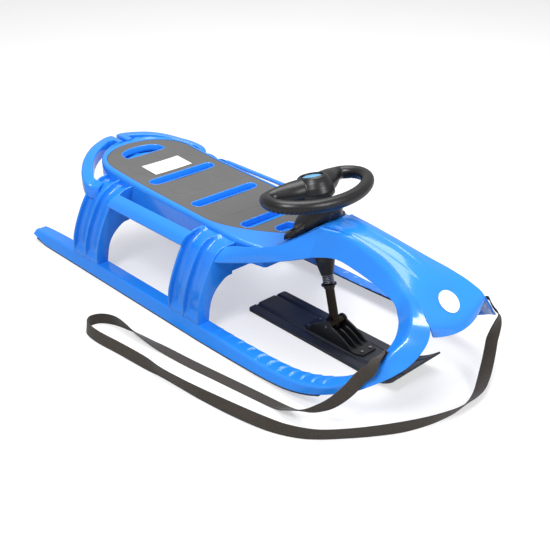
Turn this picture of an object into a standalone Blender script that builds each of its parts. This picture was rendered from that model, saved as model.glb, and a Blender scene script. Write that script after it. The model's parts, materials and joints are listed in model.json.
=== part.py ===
"""Steerable plastic snow sled: a one-piece moulded body on two runners, a soft seat mat,
a sprung steering column with a wheel, and a pivoting front ski. Metres, +X forward, +Y left,
+Z up, origin on the ground below the middle of the sled."""
import math

import bmesh
import bpy
from mathutils import Matrix, Vector

# Clearances and walls
GAP = 0.0003
SHELL = 0.0045
CHANNEL_WALL = 0.006

# Runners
TAIL_X = -0.602
TAIL_TOP_Z = 0.0255
TAIL_EDGE_Z = 0.0145
TAIL_NARROWING = 0.004
HEEL_X = -0.540
HEEL_TOP_Z = 0.027
FLAT_X = -0.480
STRIP_TAIL_X = -0.584
STRIP_TAIL_Z = 0.0109
RUNNER_OUTER_Y = 0.225
RUNNER_LIP_Y = 0.2125
RUNNER_INNER_Y = 0.180
RUNNER_TOP_Z = 0.029
STRIP_THICKNESS = 0.003
STRIP_WIDTH = 0.010
STRIP_INSET = 0.0010

# Arched legs: three ribs each, leaning forward as they rise
RIB_COUNT = 3
RIB_SPACING = 0.050
RIB_THICKNESS = 0.005
RIB_FLANK = 0.003
REAR_ARCH_X = -0.419
REAR_ARCH_LEAN = 0.25
FRONT_ARCH_X = -0.0343
FRONT_ARCH_LEAN = 0.17
BEAM_LOW = 0.139
BEAM_GAP = 0.004

# Seat
SEAT_REAR_X = -0.472
SEAT_FRONT_X = 0.165
SEAT_HALF_WIDTH = 0.1275
SEAT_REAR_HALF = 0.030
SEAT_NARROWING = ((0.095, 0.0), (0.130, 0.0060), (SEAT_FRONT_X, 0.0155))
SEAT_DEPTH = 0.048
SEAT_TOP_WALL = 0.0165
SHOULDER_DROP = 0.008
SEAT_ROUND_X = -0.360
SEAT_DISH = 0.004
MAT_HALF_WIDTH = 0.116
MAT_REAR_X = -0.4585
MAT_TAPER_X = -0.020
MAT_FRONT_X = 0.158
MAT_THICKNESS = 0.004
SLOT_WIDTH = 0.028
SLOT_DEPTH = 0.008
SLOTS = ((-0.241, 0.0936), (-0.085, 0.0927), (0.0605, 0.074), (0.1185, 0.026))
CRESCENT_INSET = 0.0725
CRESCENT_HALF = 0.058
CRESCENT_BULGE = 0.045
LABEL_X = -0.3015
LABEL_SIZE = (0.058, 0.110)
LABEL_THICKNESS = 0.0005
LABEL_GAP = 0.0006

# Rails and handles
RAIL_WALL = 0.005
RAIL_TOP = (0.1630, 0.2125)
RAIL_LOW = (0.1950, 0.1905)
RAIL_BULGE = 0.0060
HANDLE_DEPTH = 0.030
HANDLE_SLIT = 0.012

# Steering column, in its own frame: z runs up the raked axis from the ski pivot
RAKE = math.radians(14.5)
PIVOT = Vector((0.2718, 0.0, 0.040))
SHAFT_RADIUS = 0.0098
SHAFT_NECK_RADIUS = 0.0060
SHAFT_NECK_LENGTH = 0.022
SHAFT_TOP = 0.3120
COLLAR_Z = 0.0860
COLLAR_RADIUS = 0.0165
COLLAR_THICKNESS = 0.0028
BUSH_LOW_Z = 0.1106
BUSH_TAPER_Z = 0.1432
BUSH_TOP_Z = 0.2560
BUSH_LOW_RADIUS = 0.0137
BUSH_TOP_RADIUS = 0.0215
BEARING_CLEARANCE = 0.0006
WASHER_THICKNESS = 0.0015
SPRING_WIRE = 0.0022
SPRING_RADIUS = 0.0114
SPRING_TURNS = 4.5

# Bracket over the hood
BRACKET_CLEARANCE = 0.0034
SADDLE_SCREW_X = 0.2085
SADDLE_SCREW_Y = 0.068
SADDLE_SCREW_FLOOR = 0.0055
SADDLE_SCREW_RADIUS = 0.0040
SADDLE_SCREW_HEIGHT = 0.0025
SADDLE_HOLLOW_RADIUS = 0.0062

# Steering wheel: an oval rim, wider than it is deep, lower at the front than across the column
RIM_FORWARD = 0.0124
RIM_DEPTH = 0.0728
RIM_REACH = 0.1257
RIM_Z = 0.2931
RIM_TILT = -0.0124
RIM_DIP = -0.0031
RIM_ARC = math.radians(122.0)
GRIP_RADIUS = 0.0142
POD_BASE_Z = 0.2780
POD_TOP_Z = 0.3245
RECESS_RADIUS = 0.0235
RECESS_DEPTH = 0.0055
BADGE_RADIUS = 0.0195
BADGE_THICKNESS = 0.0025

# Front ski and its bracket
SKI_REAR_X = 0.058
SKI_FLAT_X = 0.418
SKI_TIP_X = 0.4945
SKI_TIP_Z = 0.034
SKI_HALF_WIDTH = 0.058
SKI_FLARE_X = 0.385
SKI_TIP_HALF = 0.0770
SKI_EDGE = 0.008
SKI_GROOVE = 0.005
SKI_CENTRE = 0.009
BRACKET_REAR_X = 0.203
BRACKET_FRONT_X = 0.372
BRACKET_HALF_WIDTH = 0.0275
BRACKET_PLATE = 0.004
EAR_THICKNESS = 0.004
EAR_Y = 0.0245
EAR_RADIUS = 0.0125
EAR_HEEL_INSET = 0.019
EAR_TOE_INSET = 0.026
FIN_REAR_X = 0.290
FIN_THICKNESS = 0.003
FIN_Y = 0.0085
CROSS_TUBE_RADIUS = 0.0090
SKI_SCREW_RADIUS = 0.0035
SKI_SCREW_HEIGHT = 0.0022
SKI_SCREW_INSET = 0.0095
SKI_SCREW_Y = 0.0185
PIN_RADIUS = 0.0030
PIN_CLEARANCE = 0.0004

# Strap
STRAP_WIDTH = 0.025
STRAP_THICKNESS = 0.0018
STRAP_SLOT_ROW = 8.5
STRAP_SLOT_PLACE = 0.0142
STRAP_SLOT_WIDTH = 0.0066
STRAP_SLOT_MARGIN = 0.002
BAR_RADIUS = 0.0028
BAR_LENGTH = 0.034
STRAP_STEPS = 3

SIDES = (("left", 1.0), ("right", -1.0))


def clear_scene():
    for item in list(bpy.data.objects):
        bpy.data.objects.remove(item, do_unlink=True)


clear_scene()
PARTS = bpy.data.collections.new("steerable_sled")
CUTTERS = bpy.data.collections.new("cutters")
bpy.context.scene.collection.children.link(PARTS)
bpy.context.scene.collection.children.link(CUTTERS)


def material(name, colour, roughness, metallic=0.0):
    made = bpy.data.materials.new(name)
    made.use_nodes = True
    shader = made.node_tree.nodes["Principled BSDF"]
    shader.inputs["Base Color"].default_value = (*colour, 1.0)
    shader.inputs["Roughness"].default_value = roughness
    shader.inputs["Metallic"].default_value = metallic
    return made


BLUE = material("blue_moulding", (0.02, 0.24, 0.90), 0.25)
MAT_GREY = material("grey_mat", (0.17, 0.16, 0.15), 0.80)
WHITE = material("white_label", (0.85, 0.85, 0.85), 0.40)
BLACK = material("black_plastic", (0.03, 0.03, 0.035), 0.45)
STEEL = material("steel", (0.55, 0.55, 0.57), 0.30, 1.0)
DARK_STEEL = material("dark_steel", (0.05, 0.05, 0.05), 0.40, 1.0)
WEBBING = material("webbing", (0.07, 0.06, 0.05), 0.90)
SKI_BLUE_BLACK = material("ski_plastic", (0.02, 0.025, 0.05), 0.30)
BADGE_BLUE = material("badge_blue", (0.20, 0.55, 0.85), 0.30)


def add_object(name, data, look, collection=PARTS):
    made = bpy.data.objects.new(name, data)
    made.data.materials.append(look)
    collection.objects.link(made)
    return made


def mesh_from_rows(name, rows, closed_ring, caps):
    """Quads between neighbouring rows of points; the rows are rings when closed_ring is set."""
    mesh = bmesh.new()
    grid = []
    for row in rows:
        grid.append([mesh.verts.new(point) for point in row])
    count = len(rows[0])
    last = count if closed_ring else count - 1
    for near, far in zip(grid, grid[1:]):
        for i in range(last):
            j = (i + 1) % count
            mesh.faces.new((near[i], near[j], far[j], far[i]))
    if caps:
        mesh.faces.new(grid[0][::-1])
        mesh.faces.new(grid[-1])
    bmesh.ops.remove_doubles(mesh, verts=mesh.verts, dist=1e-6)
    bmesh.ops.recalc_face_normals(mesh, faces=mesh.faces)
    made = bpy.data.meshes.new(name)
    mesh.to_mesh(made)
    mesh.free()
    return made


def loft(name, rings, look, collection=PARTS):
    return add_object(name, mesh_from_rows(name, rings, True, True), look, collection)


def spline(points, steps):
    """Catmull-Rom curve through the points, with that many steps to a span."""
    points = [Vector(point) for point in points]
    padded = [2 * points[0] - points[1], *points, 2 * points[-1] - points[-2]]
    curve = []
    for i in range(1, len(padded) - 2):
        before, start, end, after = padded[i - 1:i + 3]
        for step in range(steps):
            t = step / steps
            curve.append(0.5 * (2 * start + (end - before) * t
                                + (2 * before - 5 * start + 4 * end - after) * t * t
                                + (3 * start - before - 3 * end + after) * t ** 3))
    curve.append(points[-1])
    return curve


def spline_rows(rows, steps):
    """The same curve through every column of a list of rows."""
    columns = [spline(column, steps) for column in zip(*rows)]
    return [list(row) for row in zip(*columns)]


def interpolate(table, x):
    """Value at x of a list of (x, value) pairs in rising x."""
    if x <= table[0][0]:
        return table[0][1]
    for (x0, v0), (x1, v1) in zip(table, table[1:]):
        if x <= x1:
            return v0 + (v1 - v0) * (x - x0) / (x1 - x0)
    return table[-1][1]


def mirrored(points, side):
    return [Vector((point[0], point[1] * side, point[2])) for point in points]


def evaluated(made, name=None):
    """Turn a curve or a modified object into a plain welded mesh object."""
    bpy.context.view_layer.update()
    graph = bpy.context.evaluated_depsgraph_get()
    mesh = bpy.data.meshes.new_from_object(made.evaluated_get(graph))
    working = bmesh.new()
    working.from_mesh(mesh)
    bmesh.ops.remove_doubles(working, verts=working.verts, dist=1e-5)
    working.to_mesh(mesh)
    working.free()
    look = made.data.materials[0]
    where = made.matrix_world.copy()
    home = made.users_collection[0]
    title = name or made.name
    bpy.data.objects.remove(made)
    plain = bpy.data.objects.new(title, mesh)
    mesh.materials.clear()
    mesh.materials.append(look)
    home.objects.link(plain)
    plain.matrix_world = where
    return plain


def boolean(target, tool, operation):
    step = target.modifiers.new(operation.lower(), "BOOLEAN")
    step.operation = operation
    step.object = tool
    tool.hide_render = True
    tool.display_type = "WIRE"
    if tool.users_collection[0] is not CUTTERS:
        tool.users_collection[0].objects.unlink(tool)
        CUTTERS.objects.link(tool)


def column_matrix(z=0.0, forward=0.0):
    """World placement of a point of the steering column's own frame."""
    turn = Matrix.Rotation(-RAKE, 4, "Y")
    return Matrix.Translation(PIVOT) @ turn @ Matrix.Translation((forward, 0.0, z))


def turned(name, profile, look, segments=32, where=None, collection=PARTS):
    """A solid of revolution; the profile runs down the outer side at +X, from axis to axis."""
    mesh = bpy.data.meshes.new(name)
    edges = [(i, i + 1) for i in range(len(profile) - 1)]
    mesh.from_pydata([(r, 0.0, z) for r, z in profile], edges, [])
    made = add_object(name, mesh, look, collection)
    step = made.modifiers.new("turn", "SCREW")
    step.steps = segments
    step.render_steps = segments
    step.use_merge_vertices = True
    step.merge_threshold = 0.00001
    step.use_smooth_shade = True
    if where is not None:
        made.matrix_world = where
    return made


def ring_profile(outer, inner, low, high, closed=True):
    """Profile of a tube: outer side downwards, then up the bore."""
    points = [(inner, high), (outer, high), (outer, low), (inner, low)]
    return points + [points[0]] if closed else points


def cylinder(name, radius, length, centre, direction, look, segments=24, collection=PARTS):
    working = bmesh.new()
    bmesh.ops.create_cone(working, cap_ends=True, segments=segments,
                          radius1=radius, radius2=radius, depth=length)
    mesh = bpy.data.meshes.new(name)
    working.to_mesh(mesh)
    working.free()
    made = add_object(name, mesh, look, collection)
    made.rotation_mode = "QUATERNION"
    made.rotation_quaternion = Vector((0, 0, 1)).rotation_difference(Vector(direction))
    made.location = centre
    return made


def flat_outline(name, points, thickness, look, where, collection=PARTS):
    """A closed 2D outline, given as (u, v) points, extruded both ways about its own plane."""
    curve = bpy.data.curves.new(name, "CURVE")
    curve.dimensions = "2D"
    curve.fill_mode = "BOTH"
    curve.extrude = thickness / 2
    path = curve.splines.new("POLY")
    path.points.add(len(points) - 1)
    for point, (u, v) in zip(path.points, points):
        point.co = (u, v, 0.0, 1.0)
    path.use_cyclic_u = True
    made = add_object(name, curve, look, collection)
    made.matrix_world = where
    return evaluated(made)


# Side strip of the body: where the moulding is seen from the side it is a ridge R with an outer
# edge E and an inner edge B. Rows run from below the wheel, round the front bow, to the runner.
BOW_ROWS = (
    # R ridge, B inner edge, E outer edge
    ((0.262, 0.0495, 0.276), (0.262, 0.074, 0.217), (0.262, 0.040, 0.2765)),
    ((0.326, 0.0405, 0.278), (0.319, 0.063, 0.231), (0.326, 0.033, 0.2800)),
    ((0.380, 0.0405, 0.273), (0.378, 0.063, 0.226), (0.382, 0.034, 0.2755)),
    ((0.438, 0.0450, 0.2637), (0.443, 0.072, 0.2187), (0.441, 0.038, 0.2655)),
    ((0.494, 0.0630, 0.244), (0.489, 0.0855, 0.213), (0.507, 0.059, 0.2410)),
    ((0.524, 0.0765, 0.228), (0.502, 0.088, 0.194), (0.545, 0.074, 0.2225)),
    ((0.540, 0.0960, 0.205), (0.509, 0.092, 0.178), (0.574, 0.083, 0.200)),
    ((0.547, 0.1170, 0.1775), (0.516, 0.108, 0.160), (0.583, 0.100, 0.172)),
    ((0.5404, 0.1460, 0.155), (0.5197, 0.135, 0.145), (0.575, 0.130, 0.140)),
    ((0.531, 0.1665, 0.134), (0.512, 0.152, 0.125), (0.558, 0.163, 0.119)),
    ((0.512, 0.1850, 0.112), (0.500, 0.168, 0.111), (0.532, 0.187, 0.098)),
    ((0.489, 0.2000, 0.0905), (0.484, 0.178, 0.098), (0.502, 0.202, 0.077)),
    ((0.440, 0.2115, 0.060), (0.446, 0.180, 0.075), (0.430, 0.215, 0.039)),
    ((0.362, 0.2125, 0.034), (0.371, 0.180, 0.046), (0.364, 0.2215, 0.018)),
    ((0.287, 0.2125, 0.026), (0.300, 0.180, 0.034), (0.294, 0.2225, 0.0085)),
    ((0.200, 0.2125, 0.026), (0.205, 0.180, 0.030), (0.205, 0.2235, 0.0050)),
    ((0.130, 0.2125, 0.0285), (0.130, 0.180, 0.029), (0.130, 0.2245, 0.0037)),
    ((0.080, 0.2125, 0.029), (0.080, 0.180, 0.029), (0.080, 0.225, 0.0033)),
)
DECK_INSET = 0.0020
DISC_X = 0.551
DISC_RADIUS = 0.0235
DISC_THICKNESS = 0.0008
DISC_GAP = 0.0010
LIP_X = 0.590
LIP_Z = 0.165
RUNNER_ROW = 11
ROW_STEPS = 3

# Deck of the hood behind the first strip row: centre x and z, then the edge's y and z
DECK_REAR = (
    (0.1655, 0.2165, 0.112, 0.2145),
    (0.200, 0.2400, 0.094, 0.2330),
    (0.235, 0.2620, 0.066, 0.2560),
)
# Centre of the deck (x, z) at strip rows 0 to 6
DECK_CENTRE = ((0.262, 0.2775), (0.326, 0.2825), (0.382, 0.2785), (0.441, 0.2675),
               (0.507, 0.2430), (0.545, 0.2130), (0.578, 0.1870))


def strip_row(index):
    """Interpolated row of the side strip at a possibly fractional index."""
    base = min(int(index), len(BOW_ROWS) - 2)
    t = index - base
    rows = BOW_ROWS[max(base - 1, 0):base + 3]
    first = 0 if base == 0 else 1
    out = []
    for column in range(3):
        points = [Vector(row[column]) for row in rows]
        start, end = points[first], points[first + 1]
        before = points[0] if base else 2 * start - end
        after = points[first + 2] if len(points) > first + 2 else 2 * end - start
        out.append(0.5 * (2 * start + (end - before) * t
                          + (2 * before - 5 * start + 4 * end - after) * t * t
                          + (3 * start - before - 3 * end + after) * t ** 3))
    return out


def channel_ring(ridge, inner, outer, wall):
    """Six corners of the bow's channel section: outer edge, ridge, inner edge and back inside."""
    to_outer = (outer - ridge).normalized()
    to_inner = (inner - ridge).normalized()
    return [outer, ridge, inner, inner + wall * to_outer,
            ridge + wall * (to_outer + to_inner), outer + wall * to_inner]


def make_runner(label, side):
    rings = []
    level = STRIP_THICKNESS + GAP
    for x, top, edge, narrowing in ((TAIL_X, TAIL_TOP_Z, TAIL_EDGE_Z, TAIL_NARROWING),
                                    (HEEL_X, HEEL_TOP_Z, level, 0.0),
                                    (FLAT_X, RUNNER_TOP_Z, level, 0.0)):
        ridge = Vector((x, RUNNER_LIP_Y, top))
        inner = Vector((x, RUNNER_INNER_Y + narrowing, top))
        outer = Vector((x, RUNNER_OUTER_Y - narrowing / 2, edge))
        rings.append(channel_ring(ridge, inner, outer, CHANNEL_WALL))
    steps = (len(BOW_ROWS) - 1 - RUNNER_ROW) * ROW_STEPS
    for i in range(steps + 1):
        index = len(BOW_ROWS) - 1 - i / ROW_STEPS
        index = max(index, RUNNER_ROW + 0.012)
        rings.append(channel_ring(*strip_row(index), CHANNEL_WALL))
    return loft(f"runner_{label}", [mirrored(ring, side) for ring in rings], BLUE)


def make_runner_strip(label, side):
    """Steel wear strip under the outer wall of the runner, turned up at the heel."""
    rings = []

    def ring(edge):
        inward = Vector((0.0, -STRIP_WIDTH, 0.0))
        down = Vector((0.0, 0.0, -STRIP_THICKNESS))
        seat = edge + Vector((0.0, -STRIP_INSET, -GAP))
        return [seat, seat + inward, seat + inward + down, seat + down]

    rings.append(ring(Vector((STRIP_TAIL_X, RUNNER_OUTER_Y, STRIP_TAIL_Z))))
    rings.append(ring(Vector((HEEL_X, RUNNER_OUTER_Y, STRIP_THICKNESS + GAP))))
    last = len(BOW_ROWS) - 1
    steps = (last - RUNNER_ROW - 1) * ROW_STEPS
    for i in range(steps + 1):
        edge = strip_row(last - i / ROW_STEPS)[2]
        rings.append(ring(edge))
    return loft(f"runner_strip_{label}", [mirrored(row, side) for row in rings], DARK_STEEL)


def make_bow(label, side):
    """Strip from below the wheel, round the front, down to the runner."""
    rings = []
    for i in range(RUNNER_ROW * ROW_STEPS + 1):
        rings.append(channel_ring(*strip_row(i / ROW_STEPS), CHANNEL_WALL))
    bow = loft(f"bow_{label}", [mirrored(ring, side) for ring in rings], BLUE)
    ridge, tangent, inward, normal, _ = slot_frame(side)
    centre = ridge + inward * STRAP_SLOT_PLACE
    slot = box(f"strap_slot_{label}", (STRAP_WIDTH + 2 * STRAP_SLOT_MARGIN, STRAP_SLOT_WIDTH,
               3 * CHANNEL_WALL), centre, (tangent, inward, normal))
    boolean(bow, slot, "DIFFERENCE")
    depth = CHANNEL_WALL + GAP + BAR_RADIUS
    cylinder(f"strap_bar_{label}", BAR_RADIUS, BAR_LENGTH, centre - normal * depth, tangent,
             BLACK, 16)
    return bow


def slot_frame(side):
    """Ridge point of the strap slot and its directions: along, inward, and both normals."""
    ridge, inner, outer = mirrored(strip_row(STRAP_SLOT_ROW), side)
    before = mirrored(strip_row(STRAP_SLOT_ROW - 0.25), side)[0]
    after = mirrored(strip_row(STRAP_SLOT_ROW + 0.25), side)[0]
    tangent = (before - after).normalized()
    inward = inner - ridge
    inward = (inward - inward.dot(tangent) * tangent).normalized()
    forward = outer - ridge
    forward = (forward - forward.dot(tangent) * tangent).normalized()
    normal = (-forward + forward.dot(inward) * inward).normalized()
    front_normal = (-inward + forward.dot(inward) * forward).normalized()
    return ridge, tangent, inward, normal, front_normal


def box(name, size, centre, axes):
    """Cutter box along three given directions."""
    working = bmesh.new()
    bmesh.ops.create_cube(working, size=1.0)
    bmesh.ops.scale(working, vec=size, verts=working.verts)
    mesh = bpy.data.meshes.new(name)
    working.to_mesh(mesh)
    working.free()
    made = add_object(name, mesh, BLUE, CUTTERS)
    turn = Matrix([axis.normalized() for axis in axes]).transposed()
    if turn.determinant() < 0:
        turn.col[0] = -turn.col[0]
    made.matrix_world = Matrix.Translation(centre) @ turn.to_4x4()
    return made


def deck_sections():
    """Centre and edge point of each row of the deck, from the seat to the bill."""
    rows = [(Vector((x, 0.0, z)), Vector((x, y, edge_z))) for x, z, y, edge_z in DECK_REAR]
    centre = spline([(x, 0.0, z) for x, z in DECK_CENTRE], ROW_STEPS)
    for i, point in enumerate(centre):
        edge = strip_row(i / ROW_STEPS)[2] - Vector((0.0, DECK_INSET, 0.0))
        rows.append((point, edge))
    return rows


def deck_height(x, y):
    """Height of the deck's upper surface, used by what sits on the hood."""
    rows = deck_sections()
    centre = interpolate([(row[0].x, row[0].z) for row in rows], x)
    half = interpolate([(row[0].x, row[1].y) for row in rows], x)
    edge = interpolate([(row[0].x, row[1].z) for row in rows], x)
    return centre - (centre - edge) * min(abs(y) / half, 1.0) ** 2


def make_hood():
    """Deck and bill as one sheet with a wall, between the two bow strips."""
    columns = 8
    rows = []
    lip = (Vector((LIP_X, 0.0, LIP_Z)), Vector((LIP_X - 0.014, 0.073, LIP_Z + 0.008)))
    for middle, edge in deck_sections() + [lip]:
        line = []
        for i in range(columns + 1):
            s = -1.0 + 2.0 * i / columns
            point = middle.lerp(edge, s * s)
            line.append(Vector((point.x, edge.y * s, point.z)))
        rows.append(line)
    mesh = mesh_from_rows("hood", rows, False, False)
    upward = sum(face.normal.z * face.area for face in mesh.polygons)
    if upward < 0:
        mesh.flip_normals()
    hood = add_object("hood", mesh, BLUE)
    wall = hood.modifiers.new("wall", "SOLIDIFY")
    wall.thickness = SHELL
    wall.offset = -1.0
    wall.use_even_offset = True
    hole = cylinder("hood_hole", BUSH_TOP_RADIUS + GAP, 0.12,
                    column_matrix(0.215).translation, column_matrix().col[2].xyz, BLUE,
                    collection=CUTTERS)
    boolean(hood, hole, "DIFFERENCE")


# Arch profiles as (y, z), from the runner up to the seat wall
RIB_OUTER = ((0.2130, RUNNER_TOP_Z + GAP), (0.2160, 0.070), (0.2125, 0.1035), (0.2055, 0.135),
             (0.1950, 0.1685), (0.1830, 0.1945), (0.1740, 0.2045), (0.1650, 0.2120),
             (0.1470, 0.2225), (0.0, 0.2300))
WEB_OUTER = ((0.2030, RUNNER_TOP_Z + GAP), (0.1990, 0.070), (0.1955, 0.1035), (0.188, 0.132),
             (0.176, 0.160), (0.164, 0.179), (0.157, 0.188), (0.148, 0.196),
             (0.138, 0.203), (0.0, 0.208))
LEG_INNER = ((0.0, 0.137), (0.145, 0.128), (0.167, 0.108), (0.178, 0.085), (0.181, 0.060),
             (0.1805, 0.0293))


def seat_half_width(x):
    """Outer half-width of the seat pan."""
    if x < SEAT_ROUND_X:
        t = (SEAT_ROUND_X - x) / (SEAT_ROUND_X - SEAT_REAR_X + 0.004)
        return SEAT_HALF_WIDTH * math.sqrt(max(1.0 - t * t, 0.0))
    return SEAT_HALF_WIDTH - interpolate(SEAT_NARROWING, x)


SEAT_HEIGHTS = ((-0.475, 0.2540), (-0.400, 0.2460), (-0.320, 0.2380), (-0.230, 0.2320),
                (-0.140, 0.2285), (-0.050, 0.2255), (0.040, 0.2215), (0.124, 0.2170),
                (0.170, 0.2150))


def seat_height(x):
    """Height of the mat's surface along the seat."""
    return interpolate(SEAT_HEIGHTS, x)


def make_arch(name, foot_x, lean, side):
    rings = []
    stations = []
    for rib in range(RIB_COUNT):
        centre = rib * RIB_SPACING
        half = RIB_THICKNESS / 2
        if rib:
            stations.append((centre - half - RIB_FLANK, WEB_OUTER))
        stations.append((centre - half, RIB_OUTER))
        stations.append((centre + half, RIB_OUTER))
        if rib < RIB_COUNT - 1:
            stations.append((centre + half + RIB_FLANK, WEB_OUTER))
    for offset, outer in stations:
        ring = []
        for y, z in outer + LEG_INNER:
            x = foot_x + offset + lean * (z - RUNNER_TOP_Z)
            z = min(z, seat_height(x) - SHOULDER_DROP)
            x = foot_x + offset + lean * (z - RUNNER_TOP_Z)
            ring.append(Vector((x, side * max(y, SEAT_HALF_WIDTH + GAP), z)))
        rings.append(ring)
    return loft(name, rings, BLUE)


def beam_rings(foot_x, lean, inset):
    """Rings of the box below the seat; the inset one is its hollow, open below."""
    rings = []
    low = BEAM_LOW - inset
    half = SEAT_HALF_WIDTH - inset
    for offset in (inset - RIB_THICKNESS / 2,
                   (RIB_COUNT - 1) * RIB_SPACING + RIB_THICKNESS / 2 - inset):
        top = BEAM_LOW
        for _ in range(3):
            x = foot_x + offset + lean * (top - RUNNER_TOP_Z)
            top = seat_height(x) - SEAT_DEPTH - BEAM_GAP - inset
        ring = []
        for y, z in ((half, low), (half, top), (-half, top), (-half, low)):
            x = foot_x + offset + lean * (z - RUNNER_TOP_Z)
            ring.append(Vector((x, y, z)))
        rings.append(ring)
    return rings


def make_beam(name, foot_x, lean):
    """Open box below the seat that joins the two legs of an arch."""
    beam = loft(name, beam_rings(foot_x, lean, 0.0), BLUE)
    hollow = loft(f"{name}_hollow", beam_rings(foot_x, lean, SHELL), BLUE, CUTTERS)
    boolean(beam, hollow, "DIFFERENCE")


def mat_half_width(x):
    if x < SEAT_ROUND_X:
        t = (SEAT_ROUND_X - x) / (SEAT_ROUND_X - MAT_REAR_X)
        return MAT_HALF_WIDTH * math.sqrt(max(1.0 - t * t, 0.0))
    if x < MAT_TAPER_X:
        return MAT_HALF_WIDTH
    t = (x - MAT_TAPER_X) / (MAT_FRONT_X - MAT_TAPER_X)
    return MAT_HALF_WIDTH * (1.0 - min(t, 1.0) ** 1.8)


def seat_stations(rear, front):
    round_steps = 7
    xs = [rear + (SEAT_ROUND_X - rear) * math.sin(math.pi / 2 * i / round_steps) ** 1.6
          for i in range(round_steps)]
    xs += [SEAT_ROUND_X]
    xs += [x for x, _ in SEAT_HEIGHTS if SEAT_ROUND_X < x < 0.05]
    xs += [0.065, 0.085, 0.105, 0.124, 0.142]
    return xs + [front]


def dished(x, y):
    """Surface height of the mat: lower along the middle of the seat."""
    return seat_height(x) - SEAT_DISH * (1.0 - min(abs(y) / MAT_HALF_WIDTH, 1.0) ** 2)


def slab(name, low, high, inset, look, collection):
    """The mat's outline between two offsets from its surface."""
    rings = []
    stations = seat_stations(MAT_REAR_X, MAT_FRONT_X)
    for x in stations:
        half = max(mat_half_width(x), 0.004) + inset
        shift = inset * ((x == stations[-1]) - (x == stations[0]))
        ys = [half * s for s in (-1.0, -0.6, 0.0, 0.6, 1.0)]
        ring = [Vector((x + shift, y, dished(x, y) + high)) for y in ys]
        ring += [Vector((x + shift, y, dished(x, y) + low)) for y in reversed(ys)]
        rings.append(ring)
    return loft(name, rings, look, collection)


def slot_cutter(name, centre_x, half_length, width, low, high):
    """Stadium across the seat; the ends are half circles."""
    radius = width / 2
    points = []
    for i in range(9):
        turn = math.pi * i / 8
        points.append((centre_x + radius * math.cos(turn),
                       half_length - radius + radius * math.sin(turn)))
    points += [(x, -y) for x, y in reversed(points)]
    where = Matrix.Translation((0.0, 0.0, (low + high) / 2))
    return flat_outline(name, points, high - low, BLUE, where, CUTTERS)


def crescent_cutter(name, low, high):
    """Grip hole behind the label: straight in front and arched behind."""
    points = []
    for i in range(17):
        turn = math.pi * i / 16
        y = CRESCENT_HALF * math.cos(turn)
        bulge = CRESCENT_BULGE * max(math.sin(turn), 0.0) ** 0.6
        points.append((MAT_REAR_X + CRESCENT_INSET - bulge, y))
    where = Matrix.Translation((0.0, 0.0, (low + high) / 2))
    return flat_outline(name, points, high - low, BLUE, where, CUTTERS)


def make_seat():
    rings = []
    hollow = []
    stations = seat_stations(SEAT_REAR_X, SEAT_FRONT_X)
    for x in stations:
        half = max(seat_half_width(x), SEAT_REAR_HALF)
        top = seat_height(x)
        shift = SHELL * ((x == stations[0]) - (x == stations[-1]))
        roof = top - SEAT_TOP_WALL
        hollow.append([Vector((x + shift, s * (half - SHELL), z)) for s, z in
                       ((-1, roof), (0, roof - SEAT_DISH), (1, roof), (1, top - 2 * SEAT_DEPTH),
                        (-1, top - 2 * SEAT_DEPTH))])
        low = top - SEAT_DEPTH
        inner = half - 0.011
        outline = [(half - 0.012, low), (half, low + 0.010), (half, top - 0.009),
                   (half - 0.004, top - 0.0015), (inner, top)]
        middle = [(inner * s, dished(x, inner * s)) for s in (0.5, 0.0, -0.5)]
        other = [(-y, z) for y, z in reversed(outline)]
        rings.append([Vector((x, y, z)) for y, z in outline + middle + other])
    seat = loft("seat_pan", rings, BLUE)
    boolean(seat, loft("seat_hollow", hollow, BLUE, CUTTERS), "DIFFERENCE")
    pocket = slab("mat_pocket", -MAT_THICKNESS, 0.02, 0.0005, BLUE, CUTTERS)
    boolean(seat, pocket, "DIFFERENCE")
    mat = slab("seat_mat", GAP - MAT_THICKNESS, 0.0, 0.0, MAT_GREY, PARTS)
    for number, (x, half) in enumerate(SLOTS):
        surface = dished(x, 0.0)
        floor = surface - MAT_THICKNESS - SLOT_DEPTH
        boolean(seat, slot_cutter(f"seat_slot_{number}", x, half, SLOT_WIDTH, floor,
                                  surface + 0.03), "DIFFERENCE")
        boolean(mat, slot_cutter(f"mat_slot_{number}", x, half, SLOT_WIDTH, surface - 0.03,
                                 surface + 0.03), "DIFFERENCE")
    surface = dished(MAT_REAR_X + CRESCENT_INSET, 0.0)
    boolean(seat, crescent_cutter("seat_crescent", surface - MAT_THICKNESS - SLOT_DEPTH,
                                  surface + 0.03), "DIFFERENCE")
    boolean(mat, crescent_cutter("mat_crescent", surface - 0.03, surface + 0.03), "DIFFERENCE")
    rings = []
    reach = LABEL_SIZE[0] / 2
    for x in (LABEL_X - reach, LABEL_X, LABEL_X + reach):
        ys = [LABEL_SIZE[1] / 2 * t for t in (-1.0, -0.5, 0.0, 0.5, 1.0)]
        ring = [Vector((x, y, dished(x, y) + LABEL_GAP + LABEL_THICKNESS)) for y in ys]
        ring += [Vector((x, y, dished(x, y) + LABEL_GAP)) for y in reversed(ys)]
        rings.append(ring)
    loft("mat_label", rings, WHITE)


def band_ring(top, low, wall, bulge=0.0):
    """Corners of a sloping band whose outer face bulges between two edges."""
    face = (low - top).normalized()
    inward = Vector((0.0, -abs(face.z), -abs(face.y))).normalized()
    middle = (top + low) / 2 - inward * bulge
    return [top, middle, low, low + inward * wall, middle + inward * wall, top + inward * wall]


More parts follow.
